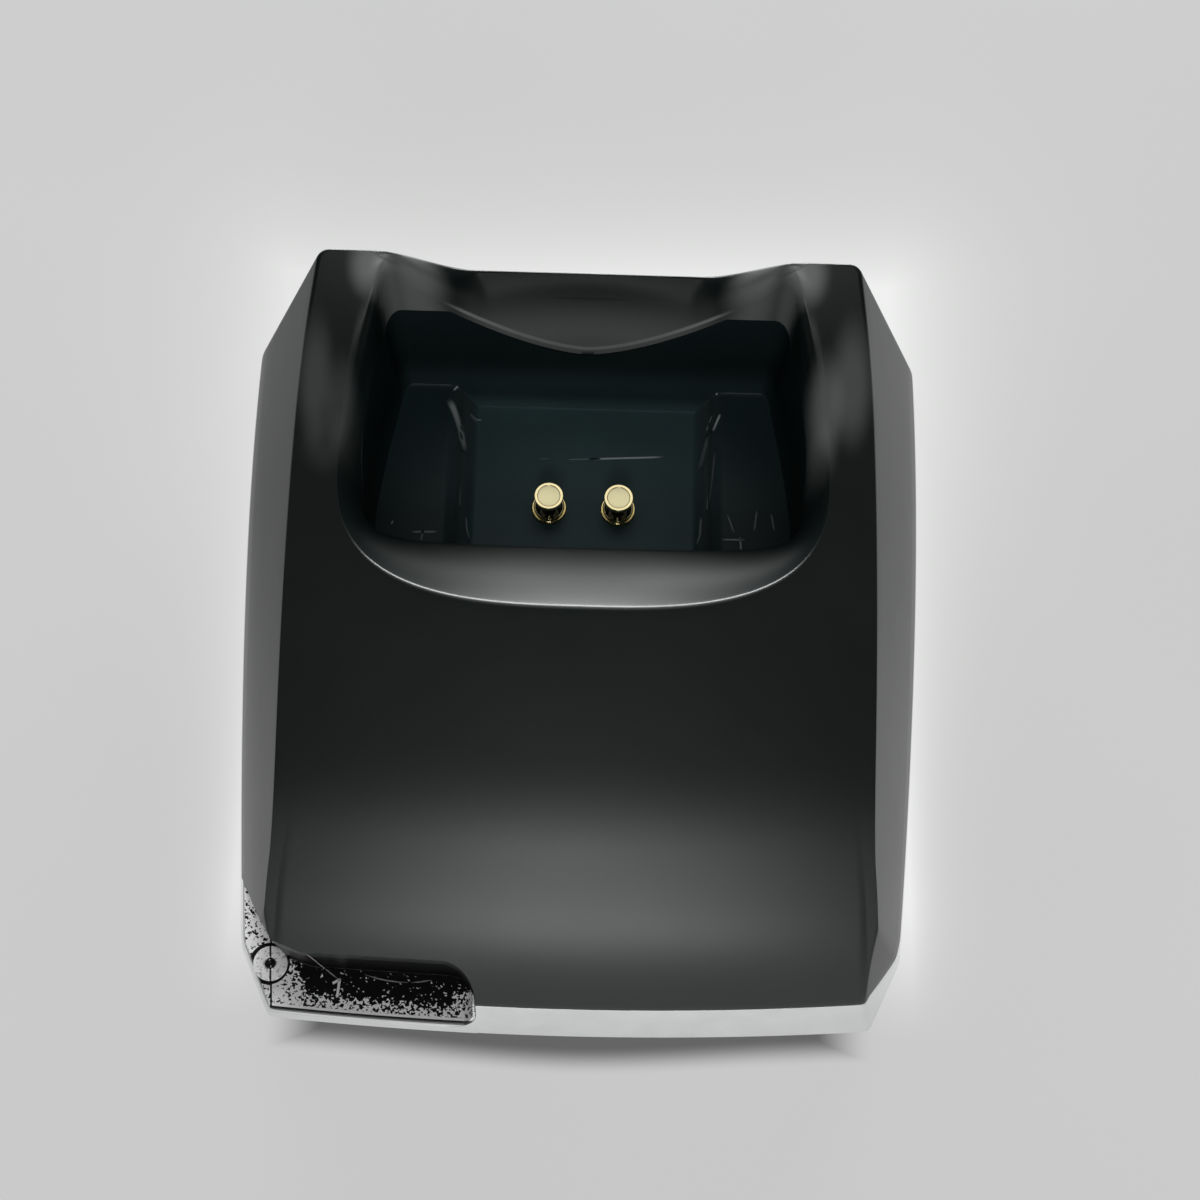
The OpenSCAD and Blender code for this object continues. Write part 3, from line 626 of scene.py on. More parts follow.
def prism(name, outline, low, high):
    """Object between two heights over a flat outline."""
    return between(name, point(outline, low), point(outline, high))


def merged(parts):
    """Vertices and faces of several grids put together."""
    starts = np.cumsum([0] + [len(verts) for verts, _ in parts])
    faces = np.vstack([faces + start for (_, faces), start in zip(parts, starts)])
    return np.vstack([verts for verts, _ in parts]), faces.tolist()


def carve(piece, cutter, operation="DIFFERENCE", sharp=35.0):
    """Takes a cutter away from a piece, or keeps what they share, and applies the result."""
    cut = piece.modifiers.new("cut", "BOOLEAN")
    cut.operation = operation
    cut.solver = "MANIFOLD"
    cut.object = cutter
    depsgraph = bpy.context.evaluated_depsgraph_get()
    mesh = bpy.data.meshes.new_from_object(piece.evaluated_get(depsgraph))
    piece.modifiers.clear()
    piece.data = mesh
    mesh.polygons.foreach_set("use_smooth", np.ones(len(mesh.polygons), dtype=bool))
    mesh.set_sharp_from_angle(angle=math.radians(sharp))
    bpy.data.objects.remove(cutter)


def notch_outline(grow=0.0):
    """The notch seen from above: the slanting left edge, the straight back and a rounded right end, all
    moved outwards by grow."""
    a = np.radians(np.linspace(90, 0, 25))
    r = NOTCH_R + grow
    end = pair(NOTCH_END_X - NOTCH_R + r * np.cos(a), NOTCH_BACK_Y - NOTCH_R + r * np.sin(a))
    head = np.array([NOTCH_START, NOTCH_LEFT, NOTCH_KNEE])
    if grow:
        heading = unit(np.diff(np.vstack([head, end[:1]]), axis=0))
        side = pair(-heading[:, 1], heading[:, 0])
        head = head + unit(side + np.vstack([side[:1], side[:-1]])) * grow
    tail = np.array([[NOTCH_END_X + grow, -NOTCH_REACH], [-NOTCH_REACH, -NOTCH_REACH],
                     [-NOTCH_REACH, NOTCH_START[1]]])
    return np.vstack([head, end, tail])


def notch_solid(low):
    """The notch as a solid, with a rounded lower end."""
    solid = prism("notch_cutter", notch_outline(), low, NOTCH_TOP_Z)
    a = np.radians(np.linspace(0, 90, 17))
    foot = pair(NOTCH_END_X - NOTCH_FILLET * (1 - np.sin(a)), low + NOTCH_FILLET * (1 - np.cos(a)))
    left, top = -NOTCH_REACH - 0.5, NOTCH_TOP_Z + 0.5
    profile = np.vstack([[[left, top], [left, low]], foot, [[NOTCH_END_X, top]]])
    front = np.insert(profile, 1, -NOTCH_REACH - 1, axis=1)
    carve(solid, between("notch_profile", front, front + [0, 40, 0]), "INTERSECT")
    return solid


def round_cutter(x, z, r, y_from, y_to, segments=96):
    """Cylinder along Y that drills the rear wall."""
    a = np.linspace(0, 2 * np.pi, segments, endpoint=False)
    ring = np.column_stack([x + r * np.cos(a), np.zeros(segments), z + r * np.sin(a)])
    return between("drill", ring + [0, y_from, 0], ring + [0, y_to, 0])


# Materials

def material(name):
    """New material with its tree and its main shader."""
    made = bpy.data.materials.new(name)
    made.use_nodes = True
    shader = made.node_tree.nodes["Principled BSDF"]
    return made, made.node_tree, shader


def feed(tree, socket, value):
    """Links a node's output to a socket, or sets the socket to a plain value."""
    if isinstance(value, bpy.types.NodeSocket):
        tree.links.new(value, socket)
    else:
        socket.default_value = value


def add(tree, kind, **inputs):
    """Adds a shader node, fills its inputs by name, or by number as in0 and in1, and gives it back."""
    made = tree.nodes.new("ShaderNode" + kind)
    for name, value in inputs.items():
        if name.startswith("in") and name[2:].isdigit():
            feed(tree, made.inputs[int(name[2:])], value)
        else:
            feed(tree, made.inputs[name.replace("_", " ")], value)
    return made


def place(tree):
    """Object coordinates."""
    return tree.nodes.new("ShaderNodeTexCoord").outputs["Object"]


def ramp(tree, source, stops):
    """Colour ramp over a value; each stop is a position and a colour."""
    made = add(tree, "ValToRGB", Fac=source)
    elements = made.color_ramp.elements
    while len(elements) < len(stops):
        elements.new(0.5)
    for element, (position, colour) in zip(elements, stops):
        element.position = position
        element.color = (*colour, 1.0) if len(colour) == 3 else colour
    return made.outputs["Color"]


def grey(v):
    """A neutral colour."""
    return (v, v, v)


def maths(tree, operation, *values):
    """Math nodes over sockets or numbers: one for the first two values and one more for each further one."""
    made = tree.nodes.new("ShaderNodeMath")
    made.operation = operation
    for socket, value in zip(made.inputs, values[:2]):
        feed(tree, socket, value)
    result = made.outputs["Value"]
    return maths(tree, operation, result, *values[2:]) if len(values) > 2 else result


def straight(tree, value, slope, start):
    """The value times a slope, plus a start."""
    return maths(tree, "ADD", maths(tree, "MULTIPLY", value, slope), start)


def far(tree, a, b):
    """Root of the sum of two squares."""
    return maths(tree, "SQRT", maths(tree, "ADD", maths(tree, "POWER", a, 2.0), maths(tree, "POWER", b, 2.0)))


def eased(tree, value, start, end, low, high, kind="SMOOTHSTEP"):
    """Goes from low to high while the value goes from start to end, with level ends unless another kind of
    passage is named."""
    made = add(tree, "MapRange", Value=value, From_Min=start, From_Max=end, To_Min=low, To_Max=high)
    made.interpolation_type = kind
    return made.outputs["Result"]


def spread(tree, value, low, high):
    """Goes from low to high in proportion to a value from 0 to 1."""
    return eased(tree, value, 0.0, 1.0, low, high, "LINEAR")


def noise(tree, at, scale, detail, **more):
    """Noise from 0 to 1 over the coordinates."""
    return add(tree, "TexNoise", Vector=at, Scale=scale, Detail=detail, **more).outputs["Fac"]


def relief(tree, shader, height, strength, depth):
    """Roughens a shader's surface by a height."""
    made = add(tree, "Bump", Height=height, Strength=strength, Distance=depth)
    feed(tree, shader.inputs["Normal"], made.outputs["Normal"])


def attribute(tree, name):
    """Value that a mesh carries for each of its points."""
    made = add(tree, "Attribute")
    made.attribute_name = name
    return made.outputs["Fac"]


def blend(tree, amount, plain, other):
    """Colour that goes from the plain one to the other by an amount."""
    made = tree.nodes.new("ShaderNodeMix")
    made.data_type = "RGBA"
    feed(tree, made.inputs["Factor"], amount)
    feed(tree, made.inputs[6], plain)
    feed(tree, made.inputs[7], (*other, 1.0))
    return made.outputs[2]


def set_finish(tree, shader, colour, roughness):
    """Fills the base colour and the roughness of a shader."""
    feed(tree, shader.inputs["Base Color"], colour)
    feed(tree, shader.inputs["Roughness"], roughness)


def plastic(name, low, high, rough_low, rough_high, grain, bump, scale=5200.0):
    """Moulded plastic: faint cloudy colour, roughness that varies softly, and a fine spark-eroded grain."""
    made, tree, shader = material(name)
    at = place(tree)
    clouds = noise(tree, at, 70.0, 4.0, Roughness=0.6)
    set_finish(tree, shader, ramp(tree, clouds, [(0.3, low), (0.7, high)]),
               spread(tree, clouds, rough_low, rough_high))
    relief(tree, shader, noise(tree, at, scale, 3.0, Roughness=0.55), grain, bump)
    return made, tree, shader


SHELL_DARK = (0.0024, 0.0050, 0.0047)
SHELL_LIGHT = (0.0036, 0.0066, 0.0063)
# Grey of the painted sheen and highlights on the shell
PAINTED_SHEEN_GREY = (0.200, 0.208, 0.206)


def shell_finish():
    """Satin black shell: the painted-sheen attribute turns it greyer where highlights and sheen are painted
    on, and the dulled one takes its shine away."""
    made, tree, shader = plastic("shell_satin", SHELL_DARK, SHELL_LIGHT, 0.33, 0.38, 0.25, 0.00002)
    shine = eased(tree, attribute(tree, "dulled"), 0.0, 1.0, 0.5, 0.1)
    feed(tree, shader.inputs["Specular IOR Level"], shine)
    plain = shader.inputs["Base Color"].links[0].from_socket
    # Painted sheen: the base colour turns grey by the painted-sheen share
    feed(tree, shader.inputs["Base Color"], blend(tree, attribute(tree, "rubbed"), plain, PAINTED_SHEEN_GREY))
    return made


def under_finish():
    """Matt black plastic of the underside."""
    return plastic("under_matt", grey(0.018), grey(0.026), 0.55, 0.68, 0.5, 0.00005, 2600.0)[0]


LINER_DARK = (0.030, 0.054, 0.058)
LINER_LIGHT = (0.040, 0.070, 0.074)
# Grey of the scuffs and painted highlights in the well
SCUFF_AND_SHEEN_GREY = (0.68, 0.74, 0.75)


def liner_finish():
    """Polished dark liner with a cool tint: the scuffs-and-sheen attribute lightens and roughens it, for
    scuffs left by the tool and for painted highlights. Painted light and shade make it lighter down in the
    channel and darker up the walls."""
    made, tree, shader = material("liner_gloss")
    at = place(tree)
    clouds = noise(tree, at, 55.0, 5.0, Roughness=0.6)
    base = ramp(tree, clouds, [(0.3, LINER_DARK), (0.75, LINER_LIGHT)])
    height = add(tree, "SeparateXYZ", Vector=at).outputs["Z"]
    shade_painted_base = add(tree, "VectorMath", in0=base)
    shade_painted_base.operation = "SCALE"
    # Painted light and shade: the base colour is scaled up low in the channel and down up the walls
    depth = maths(tree, "MULTIPLY", eased(tree, height, 0.0142, 0.0185, 1.7, 0.65),
                  eased(tree, height, 0.0205, 0.028, 1.0, 0.3))
    feed(tree, shade_painted_base.inputs["Scale"], depth)
    # Scuffs and painted highlights: the liner turns grey and rougher where this share is high
    scuff_and_sheen_share = attribute(tree, "scuffs_and_sheen")
    colour = blend(tree, scuff_and_sheen_share, shade_painted_base.outputs["Vector"], SCUFF_AND_SHEEN_GREY)
    set_finish(tree, shader, colour, spread(tree, scuff_and_sheen_share, 0.36, 0.6))
    shader.inputs["Specular IOR Level"].default_value = 0.11
    return made


def metal(name, colour, roughness, grain=0.0, scale=1500.0):
    """Metal with a faint variation of its sheen."""
    made, tree, shader = material(name)
    at = place(tree)
    shader.inputs["Metallic"].default_value = 1.0
    clouds = noise(tree, at, 220.0, 3.0)
    darker = tuple(c * 0.94 for c in colour)
    set_finish(tree, shader, ramp(tree, clouds, [(0.3, darker), (0.7, colour)]),
               spread(tree, clouds, roughness * 0.9, roughness * 1.1))
    if grain:
        relief(tree, shader, noise(tree, at, scale, 2.0), grain, 0.00003)
    return made


def band_finish():
    """Satin silver of the band."""
    return metal("band_satin_silver", (0.93, 0.935, 0.94), 0.36, 0.1)


# Places on the plate, in metres: a point of the ring's fine seam and its slope, the middle of the painted
# shadow round the ring, and the plate's front edge, which is at its middle place plus a bow times x squared
SEAM_AT = (-0.03938, -0.043)
SEAM_SLOPE = -0.085
RING_SHADOW_MIDDLE = (-0.0396, -0.043)
FRONT_EDGE_BOW = 1.02
PLATE_FRONT = -0.05015
BLACK, WHITE = (0.002, 0.002, 0.002), (0.96, 0.96, 0.96)


def off_seam(tree, x, y):
    """0 on the fine seam that crosses the ring from back to front, 1 away from it."""
    along = maths(tree, "MULTIPLY", maths(tree, "SUBTRACT", y, SEAM_AT[1]), SEAM_SLOPE)
    away = maths(tree, "ABSOLUTE", maths(tree, "SUBTRACT", maths(tree, "SUBTRACT", x, SEAM_AT[0]), along))
    return eased(tree, away, 0.00009, 0.00016, 0.0, 1.0)


def painted_light_fleck_share(tree, x, y):
    """How thick the flecks lie, as painted light and shade: thick at the front edge, round the ring and at
    the right end, and thinning to none beside the window, where the shell shades the plate.
    """
    sloped = maths(tree, "ADD", y, maths(tree, "MULTIPLY", x, 0.065))
    forward = eased(tree, sloped, -0.0505, -0.0471, 0.74, 0.0)
    beside = maths(tree, "ADD", x, maths(tree, "MULTIPLY", maths(tree, "ADD", y, 0.04525), 0.65))
    left = eased(tree, beside, -0.0364, -0.0336, 1.0, 0.0)
    right = maths(tree, "MULTIPLY", eased(tree, x, -0.0175, -0.0135, 0.0, 0.85),
                  eased(tree, y, -0.0464, -0.0454, 1.0, 0.0))
    return maths(tree, "MAXIMUM", forward, left, right)


def sparkle_finish():
    """Bright crinkled plate: white flecks on black, thinned by painted shade to none beside the window; a
    painted highlight as a white line along the front edge, and a painted shadow as a dark line round the
    ring."""
    made, tree, shader = material("plate_sparkle")
    at = place(tree)
    split = add(tree, "SeparateXYZ", Vector=at)
    x, y = split.outputs["X"], split.outputs["Y"]
    fleck = noise(tree, at, 2600.0, 1.0, Roughness=0.35, Distortion=0.6)
    # Painted light and shade: the flecks thin out where the shell shades the plate
    limit = eased(tree, painted_light_fleck_share(tree, x, y), 0.0, 1.0, 0.72, 0.42)
    flecks = eased(tree, maths(tree, "SUBTRACT", fleck, limit), -0.012, 0.012, 0.0, 1.0)

    # Painted highlight: a white line along the plate's front edge
    front = straight(tree, maths(tree, "POWER", x, 2.0), FRONT_EDGE_BOW, PLATE_FRONT)
    inside = maths(tree, "SUBTRACT", y, front)
    on_plate = eased(tree, inside, 0.00018, 0.00024, 0.0, 1.0)
    edge = maths(tree, "MULTIPLY", on_plate, eased(tree, inside, 0.0005, 0.0006, 1.0, 0.0))
    bright = maths(tree, "MAXIMUM", maths(tree, "MULTIPLY", flecks, on_plate), edge)

    # Painted shadow: a dark line round the ring, wider on its left
    from_ring = far(tree, maths(tree, "SUBTRACT", x, RING_SHADOW_MIDDLE[0]),
                    maths(tree, "SUBTRACT", y, RING_SHADOW_MIDDLE[1]))
    clear = eased(tree, from_ring, 0.00268, 0.00275, 0.0, 1.0)
    shown = maths(tree, "MULTIPLY", bright, clear, off_seam(tree, x, y))
    set_finish(tree, shader, ramp(tree, shown, [(0.0, BLACK), (1.0, WHITE)]), 0.5)
    shader.inputs["Specular IOR Level"].default_value = 0.2
    return made


def ring_finish():
    """Pale satin of the indicator's ring, with faint specks and the fine seam."""
    made, tree, shader = material("ring_pale")
    at = place(tree)
    split = add(tree, "SeparateXYZ", Vector=at)
    tone = eased(tree, noise(tree, at, 2600.0, 1.0), 0.34, 0.44, 0.55, 1.0)
    shown = maths(tree, "MULTIPLY", tone, off_seam(tree, split.outputs["X"], split.outputs["Y"]))
    set_finish(tree, shader, ramp(tree, shown, [(0.0, BLACK), (1.0, WHITE)]), 0.35)
    return made


def smoked_finish():
    """Smoked window, black with a soft polish."""
    made, tree, shader = plastic("window_smoked", grey(0.0008), grey(0.0014), 0.3, 0.4, 0.0, 0.0)
    shader.inputs["Specular IOR Level"].default_value = 0.15
    return made


def rubber_finish():
    """Matt rubber."""
    return plastic("foot_rubber_matt", grey(0.02), grey(0.03), 0.75, 0.9, 0.4, 0.00005, 1800.0)[0]


def board_finish():
    """Green solder mask with faint tracks."""
    made, tree, shader = material("board_mask")
    tracks = add(tree, "TexBrick", Vector=place(tree), Scale=160.0).outputs["Fac"]
    set_finish(tree, shader, ramp(tree, tracks, [(0.0, (0.02, 0.14, 0.05)), (1.0, (0.05, 0.22, 0.09))]), 0.35)
    return made


def clear_dark_finish():
    """Dark clear lens of the indicator, also put in the contacts' collars as painted shade."""
    return plastic("lens_dark", grey(0.006), grey(0.01), 0.08, 0.12, 0.0, 0.0)[0]


SHELL = shell_finish()
LINER = liner_finish()
BAND = band_finish()
SPARKLE = sparkle_finish()
SMOKED = smoked_finish()
UNDER = under_finish()
RUBBER = rubber_finish()
BOARD = board_finish()
DARK_LENS_AND_SHADE = clear_dark_finish()
GOLD = metal("contact_gold", (0.98, 0.85, 0.47), 0.16)
GOLD_MATT = metal("contact_gold_matt", (0.92, 0.84, 0.50), 0.3, 0.2, 3000.0)
STEEL = metal("cut_steel", (0.42, 0.42, 0.43), 0.35, 0.3)
ZINC = metal("zinc_plate", (0.62, 0.63, 0.66), 0.28)
NICKEL = metal("nickel_plate", (0.72, 0.69, 0.64), 0.2)
RING = ring_finish()
PRINT = plastic("numeral_print", grey(0.85), grey(0.92), 0.4, 0.5, 0.0, 0.0)[0]
# Pale plastic of the painted highlights and the slanting line on the window and plate
GLINT = plastic("window_glint", grey(0.20), grey(0.30), 0.3, 0.4, 0.0, 0.0)[0]


def dress(piece, finish, body, slot, *replaced):
    """Gives a piece its finish and body, and hides the solids that it stands for; the slot is not used."""
    piece.data.materials.clear()
    piece.data.materials.append(finish)
    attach(piece, body)
    if replaced:
        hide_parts(*replaced)


def dress_node(node, finish):
    """Puts a finish on a solid that stays in view."""
    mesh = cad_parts[node].data
    mesh.materials.clear()
    mesh.materials.append(finish)


# Pieces

def make_shell():
    """Shell with its notch and inlet hole."""
    piece = ring_piece("shell", shell_rows(), 30.0)
    carve(piece, prism("notch_cutter", notch_outline(), -5.0, NOTCH_TOP_Z), sharp=30.0)
    carve(piece, round_cutter(0.0, INLET_Z, INLET_R, 40.0, 56.0), sharp=30.0)
    spots = np.empty(len(piece.data.vertices) * 3)
    piece.data.vertices.foreach_get("co", spots)
    # The painted-sheen share paints highlights and sheen into the shell's colour; the dulled share lowers its
    # shine
    for name, shares in (("rubbed", rubbed_share), ("dulled", dulled_share)):
        kept = piece.data.attributes.new(name, "FLOAT", "POINT")
        kept.data.foreach_set("value", shares(spots.reshape(-1, 3) / MM))
    dress(piece, SHELL, "stand", "shell", "top_housing")
    return piece


# Painted sheen on the arms, as patches seen from above: centre, half sizes and strength
PAINTED_SHEEN_PATCHES = [
    ((-33.2, 22.2), (1.9, 6.2), 0.34),
    ((-30.0, 19.4), (1.7, 4.8), 0.22),
    ((-31.8, 14.6), (2.6, 3.0), 0.12),
    ((-26.8, 34.4), (2.2, 2.8), 0.95),
    ((-21.6, 35.4), (3.4, 2.0), 0.7),
    ((32.6, 23.2), (2.3, 6.2), 0.52),
    ((29.4, 20.6), (2.0, 5.0), 0.56),
    ((29.2, 15.4), (1.7, 3.0), 0.2),
    ((26.6, 34.7), (2.2, 2.8), 0.95),
    ((21.0, 35.9), (3.4, 2.0), 0.7),
]


def within_rear(p):
    """True for what isn't on the rear wall's outer face."""
    return p[:, 1] < HALF_DEPTH - REAR_DRAFT * (p[:, 2] - BASE_Z) - 0.1


def rubbed_share(p):
    """How much painted sheen the shell gets at each point: low on the saddle, faintly on the front of the
    lead-in, in patches on the arms, and as a painted highlight in a line along the saddle's lower edge."""
    x, y, z = p[:, 0], p[:, 1], p[:, 2]
    across = np.abs(x)
    depth = panel(p[:, :2]) - z
    # Painted sheen on the lower saddle and the lead-in, and in patches on the arms
    sheen = 0.5 * ease(across, 22, 16) * ease(y, 30, 33) * ease(z, SADDLE_Z, SADDLE_Z - 10)
    inside = ease(across, CREST[0], CREST[0] - 4) * ease(y, 8, 0) * ease(depth, 0.6, 4.6)
    inside *= 1 + 2 * ease(depth, 2.5, 6.5)
    sheen += (0.05 + 0.03 * ease(x, 0, -20) + 0.12 * ease(x, 0, 20)) * inside
    for (cx, cy), (half_x, half_y), strength in PAINTED_SHEEN_PATCHES:
        sheen += strength * ease(np.hypot((x - cx) / half_x, (y - cy) / half_y), 1.5, 0.3)
    # Painted highlight: a thin line along the saddle's lower edge
    sheen += ease(np.abs(z - rim_z(x)), 0.5, 0.2) * ease(across, 19, 15) * (y > 33.5)
    return np.where(within_rear(p) & (z > EDGE_FRONT_Z), np.minimum(sheen, 1.0), 0.0)


def dulled_share(p):
    """How far the top of the saddle loses its shine at each point."""
    return ease(np.abs(p[:, 0]), 16, 13) * ease(p[:, 1], 33, 34.2) * within_rear(p)


BAND_FOOT_R = 0.25
BAND_TOP_R = 0.12
LEDGE_DEPTH = 0.6
LEDGE_BLOCKS = ((0.02, 0.0), (WALL + 0.15, 1.6))


def make_band():
    """Bright band: its ring with the notch taken out, and the ledge in two blocks, one out to the skin and
    one that goes on behind the wall."""
    low = point(skin(BASE_Z), BASE_Z)
    top = point(skin(SEAM), SEAM)
    low_in = point(skin(BASE_Z) + (WALL + 0.1) * INWARD, BASE_Z)
    top_in = point(skin(SEAM) + WALL * INWARD, SEAM)
    rows = fillet(low_in, low, top, BAND_FOOT_R, 4) + fillet(low, top, top_in, BAND_TOP_R, 3)
    rows += [top_in, low_in]
    piece = ring_piece("band", rows)
    carve(piece, notch_solid(LEDGE_Z - LEDGE_DEPTH))
    for gap, grow in LEDGE_BLOCKS:
        join(piece, ledge_block(gap, grow))
    dress(piece, BAND, "stand", "band", "base_band")
    return piece


def ledge_block(gap, grow):
    """Block of the ledge: what lies inside the skin by a gap and within the notch grown sideways."""
    foot_z = BASE_Z + 0.02
    low = mirrored(point(skin(foot_z) + gap * INWARD, foot_z))
    top = mirrored(point(skin(LEDGE_Z) + gap * INWARD, LEDGE_Z))
    n = len(low)
    columns = np.stack([low, top], axis=1).reshape(-1, 3)
    caps = [(np.arange(n) * 2)[::-1].tolist(), (np.arange(n) * 2 + 1).tolist()]
    block = make_mesh("ledge", columns, ring_faces(n, 2, closed=False) + caps)
    carve(block, prism("ledge_cutter", notch_outline(grow), 0.0, 10.0), "INTERSECT")
    return block


def join(piece, other):
    """Adds another object's mesh to a piece's mesh."""
    made = bmesh.new()
    made.from_mesh(piece.data)
    made.from_mesh(other.data)
    made.to_mesh(piece.data)
    made.free()
    piece.data.set_sharp_from_angle(angle=math.radians(35))
    bpy.data.objects.remove(other)


def liner_edge(z, extra=0.0):
    """Inner outline of the liner at a height, drafted and moved outwards by extra."""
    shift = extra + LINER_DRAFT * (z - LIP_LOW_MAX)
    return INNER[:, :2] + shift * OUT


def floor_profile(x):
    """Height of the well's floor across the width: a channel, a steep rounded side and a raised shoulder."""
    r = SHOULDER_R
    a = np.abs(x) - (CHANNEL_HALF_W + 1.4)
    flank = (SHOULDER_Z - FLOOR_Z - r) * ease(np.abs(x), CHANNEL_HALF_W - 0.5, CHANNEL_HALF_W + 1.5)
    round_top = np.sqrt(np.maximum(0, r * r - (r - np.clip(a, 0, r)) ** 2))
    return FLOOR_Z + flank + np.where(a < 0, 0.0, np.where(a < r, round_top, r))


FLOOR_COVE = 0.8


def floor_ends(x):
    """Front and rear of the well's floor at each x."""
    right = liner_edge(FLOOR_Z + 3, 0.35)
    widest = int(np.argmax(right[:, 0]))
    rear = right[widest:][::-1]
    return (np.interp(np.abs(x), right[:widest + 1, 0], right[:widest + 1, 1]),
            np.interp(np.abs(x), rear[:, 0], rear[:, 1]))


def well_height(x, y):
    """Height of the well's floor: its profile, and a quarter circle up the front and rear walls."""
    front, rear = floor_ends(x)
    near = np.maximum(0, FLOOR_COVE - np.minimum(y - front, rear - y))
    return floor_profile(x) + FLOOR_COVE - np.sqrt(np.maximum(0, FLOOR_COVE ** 2 - near ** 2))


def slab(top, low):
    """Vertices and faces of a closed piece between two grids of points."""
    nu, nv = top.shape[:2]
    upper = np.array(grid_faces(nu, nv))
    i = np.arange(nu * nv).reshape(nu, nv)
    border = np.concatenate([i[:, 0], i[-1, 1:], i[-2::-1, -1], i[0, -2:0:-1]])
    nxt = np.roll(border, -1)
    sides = np.stack([border + nu * nv, nxt + nu * nv, nxt, border], axis=-1)
    faces = np.vstack([upper, upper[:, ::-1] + nu * nv, sides])
    return np.vstack([top.reshape(-1, 3), low.reshape(-1, 3)]), faces


def strip_grid(points, half, height, across=5, step=0.3):
    """Grid of a strip that follows a line of plan points on a surface, and how far each point lies along and
    across it."""
    points = np.array(points, dtype=float)
    run = np.concatenate([[0], np.cumsum(np.linalg.norm(np.diff(points, axis=0), axis=1))])
    s = np.linspace(0, run[-1], max(6, int(run[-1] / step)))
    line = pair(np.interp(s, run, points[:, 0]), np.interp(s, run, points[:, 1]))
    heading = unit(np.gradient(line, axis=0))
    offset = np.linspace(-1, 1, across)
    plan = line[:, None] + half * offset[None, :, None] * pair(-heading[:, 1], heading[:, 0])[:, None]
    return point(plan, height(plan[..., 0], plan[..., 1])), s / run[-1], offset


# Scuffs and painted highlights in the well, as lines on its floor and shoulders: plan points, half width and
# strength
SCUFF_AND_SHEEN_LIFT = 0.05
# Painted light that lightens the flanks between channel and shoulders
FLANK_PAINTED_LIGHT = 0.07
SCUFF_AND_SHEEN_LINES = [
    ([(-2.6, 26.19), (2.1, 26.49)], 0.09, 0.45),
    ([(0.6, 26.38), (7.69, 26.81), (11.25, 27.05)], 0.17, 1.0),
    ([(-6.4, 26.2), (-4.9, 26.24)], 0.12, 0.2),
    # Painted highlight: a wide soft line on the left flank towards the rear
    ([(-18.95, 32.2), (-18.0, 30.34), (-17.14, 28.15), (-16.55, 25.3)], 0.55, 0.6),
    ([(-16.95, 20.6), (-16.78, 16.9)], 0.1, 0.3),
    ([(-16.03, 16.5), (-15.84, 14.7), (-15.5, 13.7)], 0.13, 0.75),
    ([(-16.3, 31.88), (-14.6, 31.92)], 0.1, 0.8),
    ([(-16.3, 31.7), (-15.2, 31.5)], 0.08, 0.6),
    ([(17.4, 31.3), (16.65, 29.5)], 0.12, 0.75),
    ([(18.45, 31.1), (17.45, 28.7)], 0.2, 0.9),
    # Painted highlight: a wide soft line on the right flank towards the rear
    ([(17.05, 28.9), (16.32, 26.37), (15.85, 24.4)], 0.4, 0.3),
    ([(17.76, 26.0), (17.39, 21.5), (16.95, 17.5)], 0.12, 0.25),
    ([(16.95, 19.8), (16.8, 17.6)], 0.1, 0.45),
    ([(16.12, 17.4), (16.02, 14.8), (15.6, 13.6)], 0.17, 0.8),
    ([(-23.0, 12.26), (-19.4, 12.36)], 0.22, 0.4),
    ([(-21.35, 12.6), (-21.55, 11.0)], 0.16, 0.3),
    ([(18.6, 12.4), (21.8, 12.45)], 0.14, 0.65),
    ([(21.1, 12.9), (21.22, 10.9)], 0.14, 0.7),
    ([(19.4, 16.1), (20.3, 13.4)], 0.12, 0.35),
    ([(23.4, 16.8), (22.98, 13.7)], 0.16, 0.3),
    ([(25.3, 16.4), (25.7, 13.8)], 0.16, 0.3),
    ([(-18.4, 33.5), (-17.75, 34.3)], 0.14, 0.8),
    ([(17.8, 34.05), (18.2, 34.45)], 0.14, 0.8),
    ([(-25.7, 13.3), (-25.4, 13.8)], 0.14, 0.7),
]


def liner_wall():
    """Wall of the liner round the well, without scuffs or painted highlights."""
    top_z = lip_height() - 0.05
    foot_z = floor_profile(liner_edge(FLOOR_Z)[:, 0]) - 1.0
    rows = []
    for t in np.linspace(0, 1, 30):
        z = mix(top_z, foot_z, t)
        rows.append(point(INNER[:, :2] + (LINER_DRAFT * (z - LIP_LOW_MAX))[:, None] * OUT, z))
    for z in (foot_z - 1.0, top_z):
        rows.append(point(INNER[:, :2] + (LINER_WALL + LINER_DRAFT * (z - LIP_LOW_MAX))[:, None] * OUT, z))
    columns = mirrored(np.stack(rows, axis=1))
    count, deep = columns.shape[:2]
    return columns.reshape(-1, 3), np.array(ring_faces(count, deep)), np.zeros(count * deep)


def liner_floor():
    """Floor of the well, faintly lightened by painted light where it climbs from the channel to the
    shoulders.
    """
    a = np.linspace(-1, 1, 241)
    x = (liner_edge(FLOOR_Z + 3, 0.35)[:, 0].max() - 0.02) * np.sign(a) * (1 - (1 - np.abs(a)) ** 1.1)
    front, rear = floor_ends(x)
    y = mix(front[:, None], rear[:, None], np.linspace(0, 1, 141)[None, :])
    x = np.broadcast_to(x[:, None], y.shape)
    verts, faces = slab(point(pair(x, y), well_height(x, y)), point(pair(x, y), FLOOR_Z - 1.8))
    # Painted light: the flanks from the channel up to the shoulders are lightened
    rise = share(np.clip(floor_profile(x), FLOOR_Z, SHOULDER_Z), FLOOR_Z, SHOULDER_Z)
    scuff_and_sheen_share = FLANK_PAINTED_LIGHT * 4 * rise * (1 - rise)
    return verts, faces, np.concatenate([scuff_and_sheen_share.ravel(), np.zeros(x.size)])


